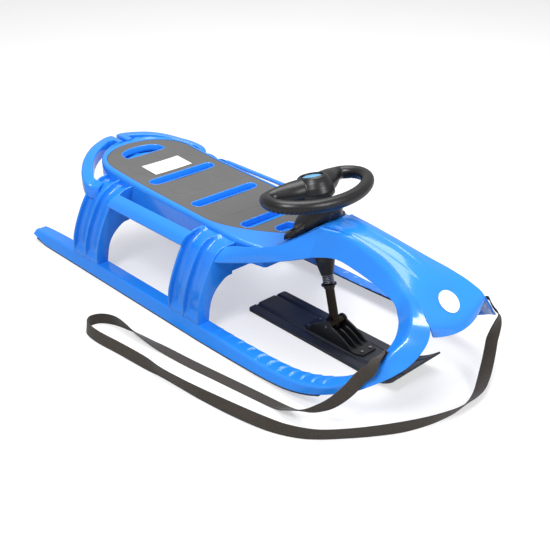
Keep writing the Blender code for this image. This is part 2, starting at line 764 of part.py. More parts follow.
def make_side_rail(label, side):
    rings = []
    rear_face = REAR_ARCH_X + (RIB_COUNT - 1) * RIB_SPACING + RIB_THICKNESS / 2 + GAP
    front_face = FRONT_ARCH_X - RIB_THICKNESS / 2 - GAP
    for face, lean in ((rear_face, REAR_ARCH_LEAN), (front_face, FRONT_ARCH_LEAN)):
        ring = band_ring(Vector((0.0, *RAIL_TOP)), Vector((0.0, *RAIL_LOW)), RAIL_WALL,
                         RAIL_BULGE)
        for point in ring:
            point.x = face + lean * (point.z - RUNNER_TOP_Z)
        rings.append(ring)
    return loft(f"side_rail_{label}", [mirrored(ring, side) for ring in rings], BLUE)


# Front rail: upper edge, lower edge and how far the face bulges between them
FRONT_RAIL_START = ((0.1585, 0.2090), (0.1880, 0.1810), 0.0050)
FRONT_RAIL_ROWS = (
    ((0.120, 0.1500, 0.2170), (0.120, 0.1650, 0.1830), 0.0040),
    ((0.165, 0.1320, 0.2240), (0.165, 0.1390, 0.1900), 0.0030),
    ((0.210, 0.1020, 0.2380), (0.210, 0.1140, 0.2020), 0.0020),
    ((0.240, 0.0740, 0.2580), (0.240, 0.0920, 0.2100), 0.0010),
)


def make_front_rail(label, side):
    rows = []
    face = FRONT_ARCH_X + (RIB_COUNT - 1) * RIB_SPACING + RIB_THICKNESS / 2 + GAP
    top, low, bulge = FRONT_RAIL_START
    first = band_ring(Vector((0.0, *top)), Vector((0.0, *low)), RAIL_WALL, bulge)
    for point in first:
        point.x = face + FRONT_ARCH_LEAN * (point.z - RUNNER_TOP_Z)
    rows.append(first)
    for top, low, bulge in FRONT_RAIL_ROWS:
        rows.append(band_ring(Vector(top), Vector(low), RAIL_WALL, bulge))
    ridge, inner, _ = strip_row(0)
    end = band_ring(ridge, inner, RAIL_WALL)
    for point in end:
        point.x = ridge.x - GAP
    rows.append(end)
    rows = spline_rows(rows, 3)
    return loft(f"front_rail_{label}", [mirrored(row, side) for row in rows], BLUE)


# Handle: outer and inner edge of its flat top, from the arch round to the slit at the rear
HANDLE_START = ((0.1890, 0.2105), (0.1630, 0.2225))
HANDLE_ROWS = (
    ((-0.400, 0.180, 0.2200), (-0.391, 0.1545, 0.2265)),
    ((-0.420, 0.170, 0.2260), (-0.408, 0.1435, 0.2320)),
    ((-0.440, 0.156, 0.2310), (-0.424, 0.1315, 0.2370)),
    ((-0.461, 0.138, 0.2380), (-0.4415, 0.1170, 0.2420)),
    ((-0.481, 0.114, 0.2455), (-0.4590, 0.0970, 0.2475)),
    ((-0.500, 0.085, 0.2510), (-0.4760, 0.0730, 0.2510)),
    ((-0.516, 0.055, 0.2530), (-0.4890, 0.0500, 0.2530)),
    ((-0.527, 0.030, 0.2535), (-0.4990, 0.0330, 0.2530)),
)
HANDLE_BAR = 0.016


def handle_ring(outer, inner):
    """Eight corners of the handle's section, a channel that is open below."""
    across = inner - outer
    across.z = 0.0
    across = across.normalized() * SHELL
    down = Vector((0.0, 0.0, -1.0))
    return [outer + down * HANDLE_DEPTH, outer, inner, inner + down * HANDLE_DEPTH,
            inner - across + down * HANDLE_DEPTH, inner - across + down * SHELL,
            outer + across + down * SHELL, outer + across + down * HANDLE_DEPTH]


def make_handle(label, side):
    face = REAR_ARCH_X - RIB_THICKNESS / 2 - GAP
    slit = HANDLE_SLIT / 2
    end_z = HANDLE_ROWS[-1][0][2]
    rings = []
    outer, inner = [Vector((face, *point)) for point in HANDLE_START]
    first = handle_ring(outer, inner)
    for point in first:
        point.x = face + REAR_ARCH_LEAN * (point.z - RUNNER_TOP_Z)
    rings.append(first)
    for outer, inner in HANDLE_ROWS:
        rings.append(handle_ring(Vector(outer), Vector(inner)))
    rings = spline_rows(rings, 3)
    corner = HANDLE_ROWS[-1][1][0]
    for outer_x, outer_y, inner_x in ((-0.5295, slit + 0.006, corner + 0.001),
                                      (-0.5235, slit, corner + 0.002),
                                      (SEAT_REAR_X - GAP, slit, SEAT_REAR_X - GAP)):
        rings.append(handle_ring(Vector((outer_x, outer_y, end_z)),
                                 Vector((inner_x, slit + HANDLE_BAR, end_z))))
    return loft(f"handle_{label}", [mirrored(ring, side) for ring in rings], BLUE)


def make_nose_disc():
    """Bare round disc that follows the bill."""
    tilt = math.atan2(deck_height(DISC_X - 0.01, 0.0) - deck_height(DISC_X + 0.01, 0.0), 0.02)
    rings = []
    count = 28
    steps = (0.05, 0.35, 0.7, 1.0)
    for lift, order in ((DISC_GAP + DISC_THICKNESS, steps), (DISC_GAP, steps[::-1])):
        for share in order:
            ring = []
            for i in range(count):
                turn = 2 * math.pi * i / count
                x = DISC_X + DISC_RADIUS * share * math.cos(turn) * math.cos(tilt)
                y = DISC_RADIUS * share * math.sin(turn)
                z = deck_height(x, y)
                ring.append(Vector((x + lift * math.sin(tilt), y, z + lift * math.cos(tilt))))
            rings.append(ring)
    return loft("nose_disc", rings, WHITE)


# Bracket stations from its end to the middle: y, rear x, front x, height above the deck
SADDLE_ROWS = (
    (0.0820, 0.1960, 0.2120, 0.0080), (0.0760, 0.1910, 0.2190, 0.0110),
    (0.0620, 0.1880, 0.2230, 0.0130), (0.0500, 0.1860, 0.2260, 0.0160),
    (0.0460, 0.1840, 0.2320, 0.0240), (0.0400, 0.1810, 0.2430, 0.0340),
    (0.0300, 0.1740, 0.2520, 0.0400), (0.0150, 0.1670, 0.2605, 0.0430),
    (0.0, 0.1650, 0.2620, 0.0440),
)
# Share of the way from rear to front, and share of the height there
SADDLE_LIFTS = ((0.0, 0.45), (0.08, 0.80), (0.2, 0.95), (0.4, 1.0), (0.6, 1.0), (0.8, 0.95),
                (0.92, 0.75), (1.0, 0.40))


def make_saddle_bracket():
    """Bridge over the hood that carries the upper end of the column."""
    rings = []
    rows = SADDLE_ROWS
    lifts = SADDLE_LIFTS
    for side, order in ((-1.0, rows), (1.0, tuple(reversed(rows))[1:])):
        for y, rear, front, rise in order:
            ring = []
            for share, lift in lifts:
                x = rear + (front - rear) * share
                ring.append(Vector((x, side * y, bracket_base(x, y) + 0.003 + rise * lift)))
            for share, _ in reversed(lifts):
                x = rear + (front - rear) * share
                ring.append(Vector((x, side * y, bracket_base(x, y))))
            rings.append(ring)
    bracket = loft("saddle_bracket", rings, BLACK)
    bore = cylinder("bracket_bore", BUSH_TOP_RADIUS + GAP, 0.20, column_matrix(0.25).translation,
                    column_matrix().col[2].xyz, BLACK, collection=CUTTERS)
    boolean(bracket, bore, "DIFFERENCE")
    floor = bracket_base(SADDLE_SCREW_X, SADDLE_SCREW_Y) + SADDLE_SCREW_FLOOR
    for label, side in SIDES:
        where = (SADDLE_SCREW_X, side * SADDLE_SCREW_Y, floor + 0.03)
        hollow = cylinder(f"hollow_{label}", SADDLE_HOLLOW_RADIUS, 0.06, where, (0, 0, 1), BLACK,
                          24, CUTTERS)
        boolean(bracket, hollow, "DIFFERENCE")
        where = (SADDLE_SCREW_X, side * SADDLE_SCREW_Y, floor + GAP + SADDLE_SCREW_HEIGHT / 2)
        cylinder(f"saddle_screw_{label}", SADDLE_SCREW_RADIUS, SADDLE_SCREW_HEIGHT, where,
                 (0, 0, 1), STEEL, 16)


def bracket_base(x, y):
    """Underside of the bracket: on the deck, and level beside it."""
    return deck_height(x, y) + BRACKET_CLEARANCE


def make_column():
    # Tapered bush, from under the hood up into the bracket
    bore = SHAFT_RADIUS + BEARING_CLEARANCE
    profile = [(bore, BUSH_TOP_Z), (BUSH_TOP_RADIUS, BUSH_TOP_Z), (BUSH_TOP_RADIUS, BUSH_TAPER_Z),
               (BUSH_LOW_RADIUS, BUSH_LOW_Z), (bore, BUSH_LOW_Z), (bore, BUSH_TOP_Z)]
    turned("column_bush", profile, BLACK, 32, column_matrix())
    # Upper thrust washer and the spring between it and the collar
    washer_top = BUSH_LOW_Z - GAP
    washer_low = washer_top - WASHER_THICKNESS
    turned("spring_washer", ring_profile(BUSH_LOW_RADIUS - 0.0005, SHAFT_RADIUS + 0.0004,
           washer_low, washer_top), STEEL, 32, column_matrix())
    collar_top = COLLAR_Z + COLLAR_THICKNESS
    make_spring(collar_top + GAP, washer_low - GAP)
    # Flanged collar fixed on the shaft
    sleeve = SHAFT_RADIUS + 0.0022
    profile = [(SHAFT_RADIUS + GAP, collar_top), (COLLAR_RADIUS, collar_top),
               (COLLAR_RADIUS, COLLAR_Z), (sleeve, COLLAR_Z), (sleeve, COLLAR_Z - 0.006),
               (SHAFT_RADIUS + GAP, COLLAR_Z - 0.006), (SHAFT_RADIUS + GAP, collar_top)]
    turned("spring_collar", profile, BLACK, 32, column_matrix())
    # Shaft with a flattened eye at its foot and a threaded end in the wheel
    shoulder = SHAFT_TOP - SHAFT_NECK_LENGTH
    profile = [(0.0, SHAFT_TOP), (SHAFT_NECK_RADIUS, SHAFT_TOP), (SHAFT_NECK_RADIUS, shoulder),
               (SHAFT_RADIUS, shoulder - 0.002), (SHAFT_RADIUS, -0.008), (0.0075, -0.0098),
               (0.0, -0.0098)]
    shaft = turned("steering_shaft", profile, DARK_STEEL, 24, column_matrix())
    eye = cylinder("shaft_eye", PIN_RADIUS + PIN_CLEARANCE, 0.06, PIVOT, (0, 1, 0), BLACK,
                   collection=CUTTERS)
    tube = cylinder("cross_tube", CROSS_TUBE_RADIUS, 2 * (EAR_Y - EAR_THICKNESS / 2
                    - PIN_CLEARANCE), PIVOT, (0, 1, 0), DARK_STEEL, 24, CUTTERS)
    boolean(shaft, tube, "UNION")
    boolean(shaft, eye, "DIFFERENCE")


def make_spring(low, high):
    """Compression spring: one unbroken round wire."""
    start = low + SPRING_WIRE / 2
    end = high - SPRING_WIRE / 2
    pitch = (end - start) / SPRING_TURNS
    print("spring gap between turns", round((pitch - SPRING_WIRE) * 1000, 2), "mm")
    curve = bpy.data.curves.new("spring", "CURVE")
    curve.dimensions = "3D"
    curve.bevel_depth = SPRING_WIRE / 2
    curve.bevel_resolution = 1
    curve.use_fill_caps = True
    path = curve.splines.new("POLY")
    count = int(SPRING_TURNS * 12)
    path.points.add(count)
    for i, point in enumerate(path.points):
        turn = 2 * math.pi * SPRING_TURNS * i / count
        rise = start + (end - start) * i / count
        point.co = (SPRING_RADIUS * math.cos(turn), SPRING_RADIUS * math.sin(turn), rise, 1.0)
    spring = add_object("spring", curve, STEEL)
    spring.matrix_world = column_matrix()
    return spring


def rim_point(turn):
    """Middle of the rim at an angle round the column, which is measured from straight ahead."""
    return (RIM_FORWARD + RIM_DEPTH * math.cos(turn), RIM_REACH * math.sin(turn),
            RIM_Z + RIM_TILT * math.cos(turn) + RIM_DIP * math.cos(2 * turn))


def make_wheel():
    """Open rim whose ends swell and run into a pod over the column."""
    curve = bpy.data.curves.new("steering_wheel", "CURVE")
    curve.dimensions = "3D"
    curve.bevel_depth = GRIP_RADIUS
    curve.bevel_resolution = 3
    curve.use_fill_caps = True
    path = curve.splines.new("POLY")
    steps = 34
    rim = [(rim_point(-RIM_ARC + 2 * RIM_ARC * i / steps), 1.0) for i in range(steps + 1)]
    ends = (((-0.0270, 0.0900, 0.3015), 1.04), ((-0.0210, 0.0710, 0.3015), 1.12),
            ((-0.0130, 0.0500, 0.3000), 1.25), ((-0.0040, 0.0250, 0.2980), 1.35))
    head = [((x, -y, z), size) for (x, y, z), size in reversed(ends)]
    route = head + rim + list(ends)
    path.points.add(len(route) - 1)
    for point, ((x, y, z), size) in zip(path.points, route):
        point.co = (x, y, z, 1.0)
        point.radius = size
    wheel = add_object("steering_wheel", curve, BLACK)
    wheel.matrix_world = column_matrix()
    wheel = evaluated(wheel)
    floor = POD_TOP_Z - RECESS_DEPTH
    pod_profile = [(0.0, floor), (RECESS_RADIUS, floor), (RECESS_RADIUS, POD_TOP_Z),
                   (RECESS_RADIUS + 0.0027, POD_TOP_Z), (0.0305, POD_TOP_Z - 0.003),
                   (0.0360, POD_TOP_Z - 0.0115), (0.0405, POD_TOP_Z - 0.0225),
                   (0.0430, POD_TOP_Z - 0.0345), (0.0425, POD_BASE_Z + 0.0050),
                   (0.0385, POD_BASE_Z), (0.0, POD_BASE_Z)]
    pod = evaluated(turned("wheel_pod", pod_profile, BLACK, 32, column_matrix(), CUTTERS))
    boolean(wheel, pod, "UNION")
    neck = SHAFT_NECK_RADIUS + GAP
    wide = SHAFT_RADIUS + GAP
    socket_profile = [(0.0, SHAFT_TOP + GAP), (neck, SHAFT_TOP + GAP),
                      (neck, SHAFT_TOP - SHAFT_NECK_LENGTH),
                      (wide, SHAFT_TOP - SHAFT_NECK_LENGTH - 0.0015),
                      (wide, POD_BASE_Z - 0.01), (0.0, POD_BASE_Z - 0.01)]
    socket = evaluated(turned("wheel_socket", socket_profile, BLACK, 24, column_matrix(), CUTTERS))
    boolean(wheel, socket, "DIFFERENCE")
    low = floor + GAP
    high = low + BADGE_THICKNESS
    turned("hub_badge", [(0.0, high + 0.0010), (BADGE_RADIUS * 0.7, high + 0.0006),
           (BADGE_RADIUS, high - 0.0004), (BADGE_RADIUS, low), (0.0, low)],
           BADGE_BLUE, 32, column_matrix())


def make_ski():
    """Blade with two grooves and a turned-up tip."""
    section = ((-SKI_HALF_WIDTH, SKI_EDGE), (-0.037, SKI_EDGE), (-0.034, SKI_GROOVE),
               (-0.029, SKI_GROOVE), (-0.026, SKI_CENTRE), (0.026, SKI_CENTRE),
               (0.029, SKI_GROOVE), (0.034, SKI_GROOVE), (0.037, SKI_EDGE),
               (SKI_HALF_WIDTH, SKI_EDGE), (SKI_HALF_WIDTH, 0.0), (-SKI_HALF_WIDTH, 0.0))
    rows = [(SKI_REAR_X, 0.93), (SKI_REAR_X + 0.004, 1.0), (0.20, 1.0), (SKI_FLARE_X, 1.0)]
    steps = 7
    flare = SKI_TIP_HALF / SKI_HALF_WIDTH - 1.0
    for i in range(steps + 1):
        x = SKI_FLAT_X + (SKI_TIP_X - SKI_FLAT_X) * i / steps
        share = (x - SKI_FLARE_X) / (SKI_TIP_X - SKI_FLARE_X)
        rows.append((x, 1.0 + flare * share * share))
    rings = []
    for x, narrow in rows:
        t = max((x - SKI_FLAT_X) / (SKI_TIP_X - SKI_FLAT_X), 0.0)
        lift = SKI_TIP_Z * t ** 2
        slope = math.atan(2 * SKI_TIP_Z * t / (SKI_TIP_X - SKI_FLAT_X))
        thin = 1.0 - 0.45 * t
        ring = []
        for y, z in section:
            ring.append(Vector((x - z * thin * math.sin(slope), y * narrow,
                                lift + z * thin * math.cos(slope))))
        rings.append(ring)
    return loft("ski_blade", rings, SKI_BLUE_BLACK)


def make_ski_bracket():
    """Base plate with two ears for the pin and two fins in front of the column's foot."""
    base_low = SKI_CENTRE + GAP
    base_high = base_low + BRACKET_PLATE
    half = BRACKET_HALF_WIDTH
    rings = []
    for x, narrow in ((BRACKET_REAR_X, 0.8), (BRACKET_REAR_X + 0.010, 1.0),
                      (BRACKET_FRONT_X - 0.016, 1.0), (BRACKET_FRONT_X, 0.7)):
        y = half * narrow
        rings.append([Vector((x, -y, base_low)), Vector((x, y, base_low)),
                      Vector((x, y, base_high)), Vector((x, -y, base_high))])
    bracket = loft("ski_bracket", rings, BLACK)
    arc = []
    for i in range(9):
        turn = math.radians(165.0 - 150.0 * i / 8)
        arc.append((PIVOT.x + EAR_RADIUS * math.cos(turn), PIVOT.z + EAR_RADIUS * math.sin(turn)))
    root = base_high - 0.001
    toe = BRACKET_FRONT_X - EAR_TOE_INSET
    heel = BRACKET_REAR_X + EAR_HEEL_INSET
    slope = [(toe - 0.046, 0.0375), (toe - 0.024, 0.0280), (toe, root)]
    ear = [(heel, root), (heel + 0.010, 0.0300)] + arc + slope
    fin = [(FIN_REAR_X, root), (FIN_REAR_X, 0.0330), (FIN_REAR_X + 0.006, 0.0385),
           (FIN_REAR_X + 0.018, 0.0355), (toe - 0.018, 0.0255), (toe + 0.002, root)]
    plates = ((EAR_Y, EAR_THICKNESS, ear), (FIN_Y, FIN_THICKNESS, fin))
    for number, (y, thickness, outline) in enumerate(plates):
        for label, side in SIDES:
            where = Matrix.Translation((0.0, side * y, 0.0)) @ Matrix.Rotation(math.pi / 2, 4, "X")
            plate = flat_outline(f"plate_{number}_{label}", outline, thickness, BLACK, where,
                                 CUTTERS)
            boolean(bracket, plate, "UNION")
    eye = cylinder("bracket_eye", PIN_RADIUS + PIN_CLEARANCE, 4 * EAR_Y, PIVOT, (0, 1, 0), BLACK,
                   collection=CUTTERS)
    boolean(bracket, eye, "DIFFERENCE")
    reach = EAR_Y + EAR_THICKNESS / 2 + 0.002
    cylinder("ski_pivot_pin", PIN_RADIUS, 2 * reach, PIVOT, (0, 1, 0), STEEL, 20)
    height = base_high + GAP + SKI_SCREW_HEIGHT / 2
    for place, x in (("rear", BRACKET_REAR_X + SKI_SCREW_INSET),
                     ("front", BRACKET_FRONT_X - SKI_SCREW_INSET)):
        for label, side in SIDES:
            y = side * SKI_SCREW_Y * (1.0 if place == "rear" else 0.7)
            cylinder(f"ski_screw_{place}_{label}", SKI_SCREW_RADIUS, SKI_SCREW_HEIGHT,
                     (x, y, height), (0, 0, 1), STEEL, 16)


# Strap between its slots: a point of the middle line, then the direction of the strap's width.
# It hangs from the right slot, lies flat, stands on edge round the loop, and hangs again.
STRAP_ROWS = (
    ((0.5289, -0.1699, 0.1493), (-0.89, 0.20, -0.41)),
    ((0.5270, -0.1848, 0.1302), (-0.93, -0.24, -0.26)),
    ((0.5141, -0.1962, 0.1118), (-0.91, -0.40, 0.07)),
    ((0.5050, -0.2116, 0.0909), (-0.77, -0.60, 0.22)),
    ((0.4954, -0.2265, 0.0744), (-0.60, -0.55, 0.58)),
    ((0.4830, -0.2390, 0.0595), (-0.40, -0.55, 0.73)),
    ((0.4680, -0.2490, 0.0474), (-0.20, -0.62, 0.76)),
    ((0.4439, -0.2580, 0.0320), (0.00, -0.76, 0.64)),
    ((0.4039, -0.2615, 0.0150), (0.00, -0.93, 0.37)),
    ((0.3696, -0.2590, 0.0030), (0.00, -1.00, 0.08)),
    ((0.2976, -0.2681, 0.0016), (0.00, -1.00, 0.00)),
    ((0.2198, -0.2791, 0.0016), (0.00, -1.00, 0.00)),
    ((0.1382, -0.2907, 0.0016), (0.00, -1.00, 0.00)),
    ((0.0646, -0.2990, 0.0028), (0.00, -1.00, 0.10)),
    ((0.0213, -0.3050, 0.0062), (0.00, -0.93, 0.37)),
    ((-0.0197, -0.3090, 0.0098), (0.00, -0.76, 0.64)),
    ((-0.0503, -0.3115, 0.0124), (0.00, -0.45, 0.89)),
    ((-0.0833, -0.3150, 0.0134), (0.00, -0.15, 0.99)),
    ((-0.1074, -0.3240, 0.0136), (0.00, 0.00, 1.00)),
    ((-0.1234, -0.3385, 0.0136), (0.00, 0.00, 1.00)),
    ((-0.1271, -0.3580, 0.0136), (0.00, 0.00, 1.00)),
    ((-0.1140, -0.3749, 0.0136), (0.00, 0.15, 0.99)),
    ((-0.0918, -0.3812, 0.0136), (0.00, 0.30, 0.95)),
    ((-0.0534, -0.3812, 0.0136), (0.00, 0.40, 0.92)),
    ((0.0079, -0.3740, 0.0136), (0.00, 0.42, 0.91)),
    ((0.0788, -0.3677, 0.0136), (0.00, 0.40, 0.92)),
    ((0.1356, -0.3640, 0.0136), (0.00, -0.05, 1.00)),
    ((0.1982, -0.3581, 0.0136), (0.00, 0.00, 1.00)),
    ((0.2532, -0.3515, 0.0136), (0.00, 0.20, 0.98)),
    ((0.3263, -0.3395, 0.0136), (0.00, 0.45, 0.89)),
    ((0.3900, -0.3260, 0.0136), (0.05, 0.48, 0.87)),
    ((0.4316, -0.3130, 0.0136), (0.10, 0.25, 0.96)),
    ((0.4657, -0.2950, 0.0136), (0.05, 0.05, 1.00)),
    ((0.4925, -0.2729, 0.0136), (0.08, -0.10, 0.99)),
    ((0.5200, -0.2400, 0.0136), (0.10, -0.10, 0.99)),
    ((0.5485, -0.2000, 0.0136), (0.05, -0.05, 1.00)),
    ((0.5785, -0.1500, 0.0136), (0.00, 0.00, 1.00)),
    ((0.5990, -0.1040, 0.0136), (0.15, -0.05, 0.98)),
    ((0.6100, -0.0680, 0.0134), (0.30, -0.10, 0.94)),
    ((0.6165, -0.0330, 0.0125), (0.45, -0.15, 0.87)),
    ((0.6170, 0.0030, 0.0118), (0.59, -0.20, 0.78)),
    ((0.6140, 0.0300, 0.0118), (0.74, 0.00, 0.66)),
    ((0.6075, 0.0560, 0.0138), (0.82, 0.27, 0.48)),
    ((0.5963, 0.0830, 0.0190), (0.80, 0.50, 0.25)),
    ((0.5872, 0.1030, 0.0265), (0.74, 0.66, 0.08)),
    ((0.5793, 0.1200, 0.0393), (0.69, 0.72, 0.00)),
    ((0.5735, 0.1320, 0.0551), (0.69, 0.72, 0.00)),
    ((0.5691, 0.1409, 0.0731), (0.66, 0.75, -0.06)),
    ((0.5690, 0.1468, 0.0891), (0.51, 0.83, -0.22)),
    ((0.5707, 0.1499, 0.1120), (0.09, 0.82, -0.57)),
    ((0.5684, 0.1535, 0.1280), (-0.27, 0.72, -0.64)),
)


def strap_route():
    """Points of the strap's middle line, each with the direction of its width."""
    start = -CHANNEL_WALL
    ridge, along, inward, normal, front = slot_frame(-1.0)
    place = inward * STRAP_SLOT_PLACE
    route = [(ridge + place + start * normal, -along), (ridge + place + 0.0035 * normal, -along),
             (ridge + 0.009 * inward + 0.0095 * normal, -along)]
    route += STRAP_ROWS
    ridge, along, inward, normal, front = slot_frame(1.0)
    place = inward * STRAP_SLOT_PLACE
    down = front.cross(along)
    route += [(ridge + 0.0036 * front + 0.022 * down, -along),
              (ridge + 0.0035 * front + 0.010 * down, -along),
              (ridge + 0.0035 * (front + normal), -along),
              (ridge + 0.007 * inward + 0.0042 * normal, -along),
              (ridge + place + 0.0035 * normal, -along),
              (ridge + place + start * normal, -along)]
    return route


def make_strap():
    """Flat webbing: a rectangle swept along the route, turned to its width's direction."""
    route = strap_route()
    points = spline([point for point, _ in route], STRAP_STEPS)
    widths = spline([width for _, width in route], STRAP_STEPS)
    rings = []
    for i, (point, width) in enumerate(zip(points, widths)):
        along = points[min(i + 1, len(points) - 1)] - points[max(i - 1, 0)]
        along.normalize()
        across = (width - width.dot(along) * along).normalized() * (STRAP_WIDTH / 2)
        thick = along.cross(across).normalized() * (STRAP_THICKNESS / 2)
        rings.append([point - across - thick, point - thick, point + across - thick,
                      point + across + thick, point + thick, point - across + thick])
    return loft("pull_strap", rings, WEBBING)


def main():
    make_seat()
    for label, side in SIDES:
        make_runner(label, side)
        make_runner_strip(label, side)
        make_bow(label, side)
        make_arch(f"arch_rear_{label}", REAR_ARCH_X, REAR_ARCH_LEAN, side)
        make_arch(f"arch_front_{label}", FRONT_ARCH_X, FRONT_ARCH_LEAN, side)
        make_side_rail(label, side)
        make_front_rail(label, side)
        make_handle(label, side)
    make_beam("crossbeam_rear", REAR_ARCH_X, REAR_ARCH_LEAN)
    make_beam("crossbeam_front", FRONT_ARCH_X, FRONT_ARCH_LEAN)
    make_hood()
    make_nose_disc()
    make_saddle_bracket()
    make_column()
    make_wheel()
    make_ski()
    make_ski_bracket()
    make_strap()


main()
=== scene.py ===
# %% [markdown]
# # A steerable snow sled, dressed for its picture
# The sled is a blue moulding with a grey mat, a black wheel on a sprung column, a dark ski and a
# long strap on the floor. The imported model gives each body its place. Each cell makes one visible
# piece as a surface worked out with numpy.

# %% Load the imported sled
import json
import math

import bmesh
import bpy
import numpy as np
from mathutils import Matrix, Vector

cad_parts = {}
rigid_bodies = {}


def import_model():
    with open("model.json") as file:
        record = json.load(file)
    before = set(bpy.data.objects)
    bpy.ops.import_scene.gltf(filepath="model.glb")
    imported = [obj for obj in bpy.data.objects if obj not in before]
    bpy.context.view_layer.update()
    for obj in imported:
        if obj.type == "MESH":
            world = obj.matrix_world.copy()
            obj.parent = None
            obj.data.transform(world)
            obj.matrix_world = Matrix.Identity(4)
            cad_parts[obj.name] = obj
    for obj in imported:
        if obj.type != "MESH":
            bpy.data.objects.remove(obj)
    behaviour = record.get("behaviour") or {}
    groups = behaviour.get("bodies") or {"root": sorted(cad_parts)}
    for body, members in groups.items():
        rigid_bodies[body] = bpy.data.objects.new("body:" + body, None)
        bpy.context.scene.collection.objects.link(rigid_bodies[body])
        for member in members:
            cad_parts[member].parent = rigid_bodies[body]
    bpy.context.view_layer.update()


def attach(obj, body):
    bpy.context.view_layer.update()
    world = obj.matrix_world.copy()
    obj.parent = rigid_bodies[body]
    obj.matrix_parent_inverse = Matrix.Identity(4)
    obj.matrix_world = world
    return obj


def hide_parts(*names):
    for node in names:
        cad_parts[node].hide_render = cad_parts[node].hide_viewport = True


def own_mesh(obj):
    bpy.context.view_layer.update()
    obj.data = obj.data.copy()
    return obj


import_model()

# %% [markdown]
# ## The camera
# The picture was taken from the sled's right front and a little above it, with a long lens. These
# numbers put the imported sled's outline on the pictured one.

# %% Camera
CAMERA_PLACE = Vector((1.3675, -1.2222, 1.0332))
AZIMUTH = math.radians(46.39)
ELEVATION = math.radians(28.248)
ROLL = math.radians(0.405)
FOCAL_PIXELS = 893.02
IMAGE_PIXELS = 550


def linked(name, data):
    """New object of the scene."""
    made = bpy.data.objects.new(name, data)
    bpy.context.scene.collection.objects.link(made)
    return made


back = Vector((math.sin(AZIMUTH) * math.cos(ELEVATION), -math.cos(AZIMUTH) * math.cos(ELEVATION),
               math.sin(ELEVATION)))
right = Vector((math.cos(AZIMUTH), math.sin(AZIMUTH), 0.0))
up = back.cross(right)
turned_right = math.cos(ROLL) * right + math.sin(ROLL) * up
turned_up = -math.sin(ROLL) * right + math.cos(ROLL) * up
camera_data = bpy.data.cameras.new("camera")
camera_data.sensor_width = 36.0
camera_data.lens = FOCAL_PIXELS / IMAGE_PIXELS * camera_data.sensor_width
camera = linked("camera", camera_data)
turn = Matrix((turned_right, turned_up, back)).transposed().to_4x4()
camera.matrix_world = Matrix.Translation(CAMERA_PLACE) @ turn
bpy.context.scene.camera = camera
print("lens", round(camera_data.lens, 2), "mm")

# %% [markdown]
# ## Shader sums as plain Python
# A finish reads better as arithmetic than as a web of nodes. This class wraps a socket, so that
# `1 - mask * 0.3` adds the Math nodes it needs.

# %% Socket sums
def maths(operation, swapped=False):
    """Method that adds one Math node."""
    def method(self, other=0.0):
        first, second = (other, self) if swapped else (self, other)
        return self.tree.node("ShaderNodeMath", {0: first, 1: second}, operation=operation)
    return method


class Value:
    """One output socket of a node tree that can be added, multiplied and compared."""

    def __init__(self, tree, socket):
        self.tree = tree
        self.socket = socket

    __add__ = __radd__ = maths("ADD")
    __mul__ = __rmul__ = maths("MULTIPLY")
    __sub__ = maths("SUBTRACT")
    __rsub__ = maths("SUBTRACT", swapped=True)
    __truediv__ = maths("DIVIDE")
    __gt__ = maths("GREATER_THAN")
    wave = maths("SINE")
    size = maths("ABSOLUTE")

    def clamp(self):
        """The value kept between 0 and 1."""
        return self.tree.node("ShaderNodeClamp", {"Value": self})


class Finish:
    """One material; node() adds a node from its type, its sockets and its settings."""

    def __init__(self, name):
        self.material = bpy.data.materials.new(name)
        self.material.use_nodes = True
        self.nodes = self.material.node_tree.nodes
        self.links = self.material.node_tree.links
        self.shader = self.nodes["Principled BSDF"]

    def plug(self, socket, value):
        if isinstance(value, Value):
            self.links.new(value.socket, socket)
        else:
            socket.default_value = value

    def node(self, kind, sockets, out=0, **settings):
        made = self.nodes.new(kind)
        for key, value in settings.items():
            setattr(made, key, value)
        for key, value in sockets.items():
            if isinstance(key, int):
                socket = made.inputs[key]
            else:
                socket = next(s for s in made.inputs if s.name == key and s.enabled)
            self.plug(socket, value)
        return Value(self, made.outputs[out])

    def along(self, axis):
        """One coordinate, 0 or 1, of the piece's own map, in metres."""
        point = self.node("ShaderNodeTexCoord", {}, out=2)
        return self.node("ShaderNodeSeparateXYZ", {0: point}, out=axis)

    def noise(self, grain, detail=3.0, rough=0.5, stretch=(1.0, 1.0, 1.0)):
        """Cloudy noise whose lumps are about grain metres across."""
        point = self.node("ShaderNodeTexCoord", {}, out=3)
        scaled = self.node("ShaderNodeMapping", {"Vector": point, "Scale": stretch})
        sockets = {"Vector": scaled, "Scale": 1.0 / grain, "Detail": detail, "Roughness": rough}
        return self.node("ShaderNodeTexNoise", sockets)

    def mix(self, amount, first, second):
        """Blend of two colours."""
        sockets = {"Factor": amount, "A": (*first, 1.0), "B": (*second, 1.0)}
        return self.node("ShaderNodeMix", sockets, out=2, data_type="RGBA")

    def bump(self, height, depth, strength=1.0, under=None):
        """Dents whose full depth is depth metres."""
        sockets = {"Height": height, "Distance": depth, "Strength": strength}
        if under is not None:
            sockets["Normal"] = under
        return self.node("ShaderNodeBump", sockets)

    def wear(self, **values):
        """Set sockets of the main shader, written with _ for each space."""
        for key, value in values.items():
            self.plug(self.shader.inputs[key.replace("_", " ").title().replace("Ior", "IOR")], value)
        return self


print("socket sums ready")

# %% [markdown]
# ## Blue moulding
# Blow-moulded plastic is glossy, even in colour and very slightly wavy. A broad, shallow bump
# gives the waves, and fine noise in the roughness breaks the highlights.

# %% Blue finish
blue = Finish("blue_moulding")
cloud = blue.noise(0.16, 1.0)
speck = blue.noise(0.0025, 2.0)
waves = blue.bump(cloud, 0.001, 0.25)
blue.wear(base_color=blue.mix(cloud, (0.016, 0.245, 0.9), (0.022, 0.27, 0.94)),
          roughness=0.17 + speck * 0.03 + cloud * 0.04, normal=blue.bump(speck, 0.00004, 0.15, waves),
          coat_weight=0.35, coat_roughness=0.06)
print("made", blue.material.name)

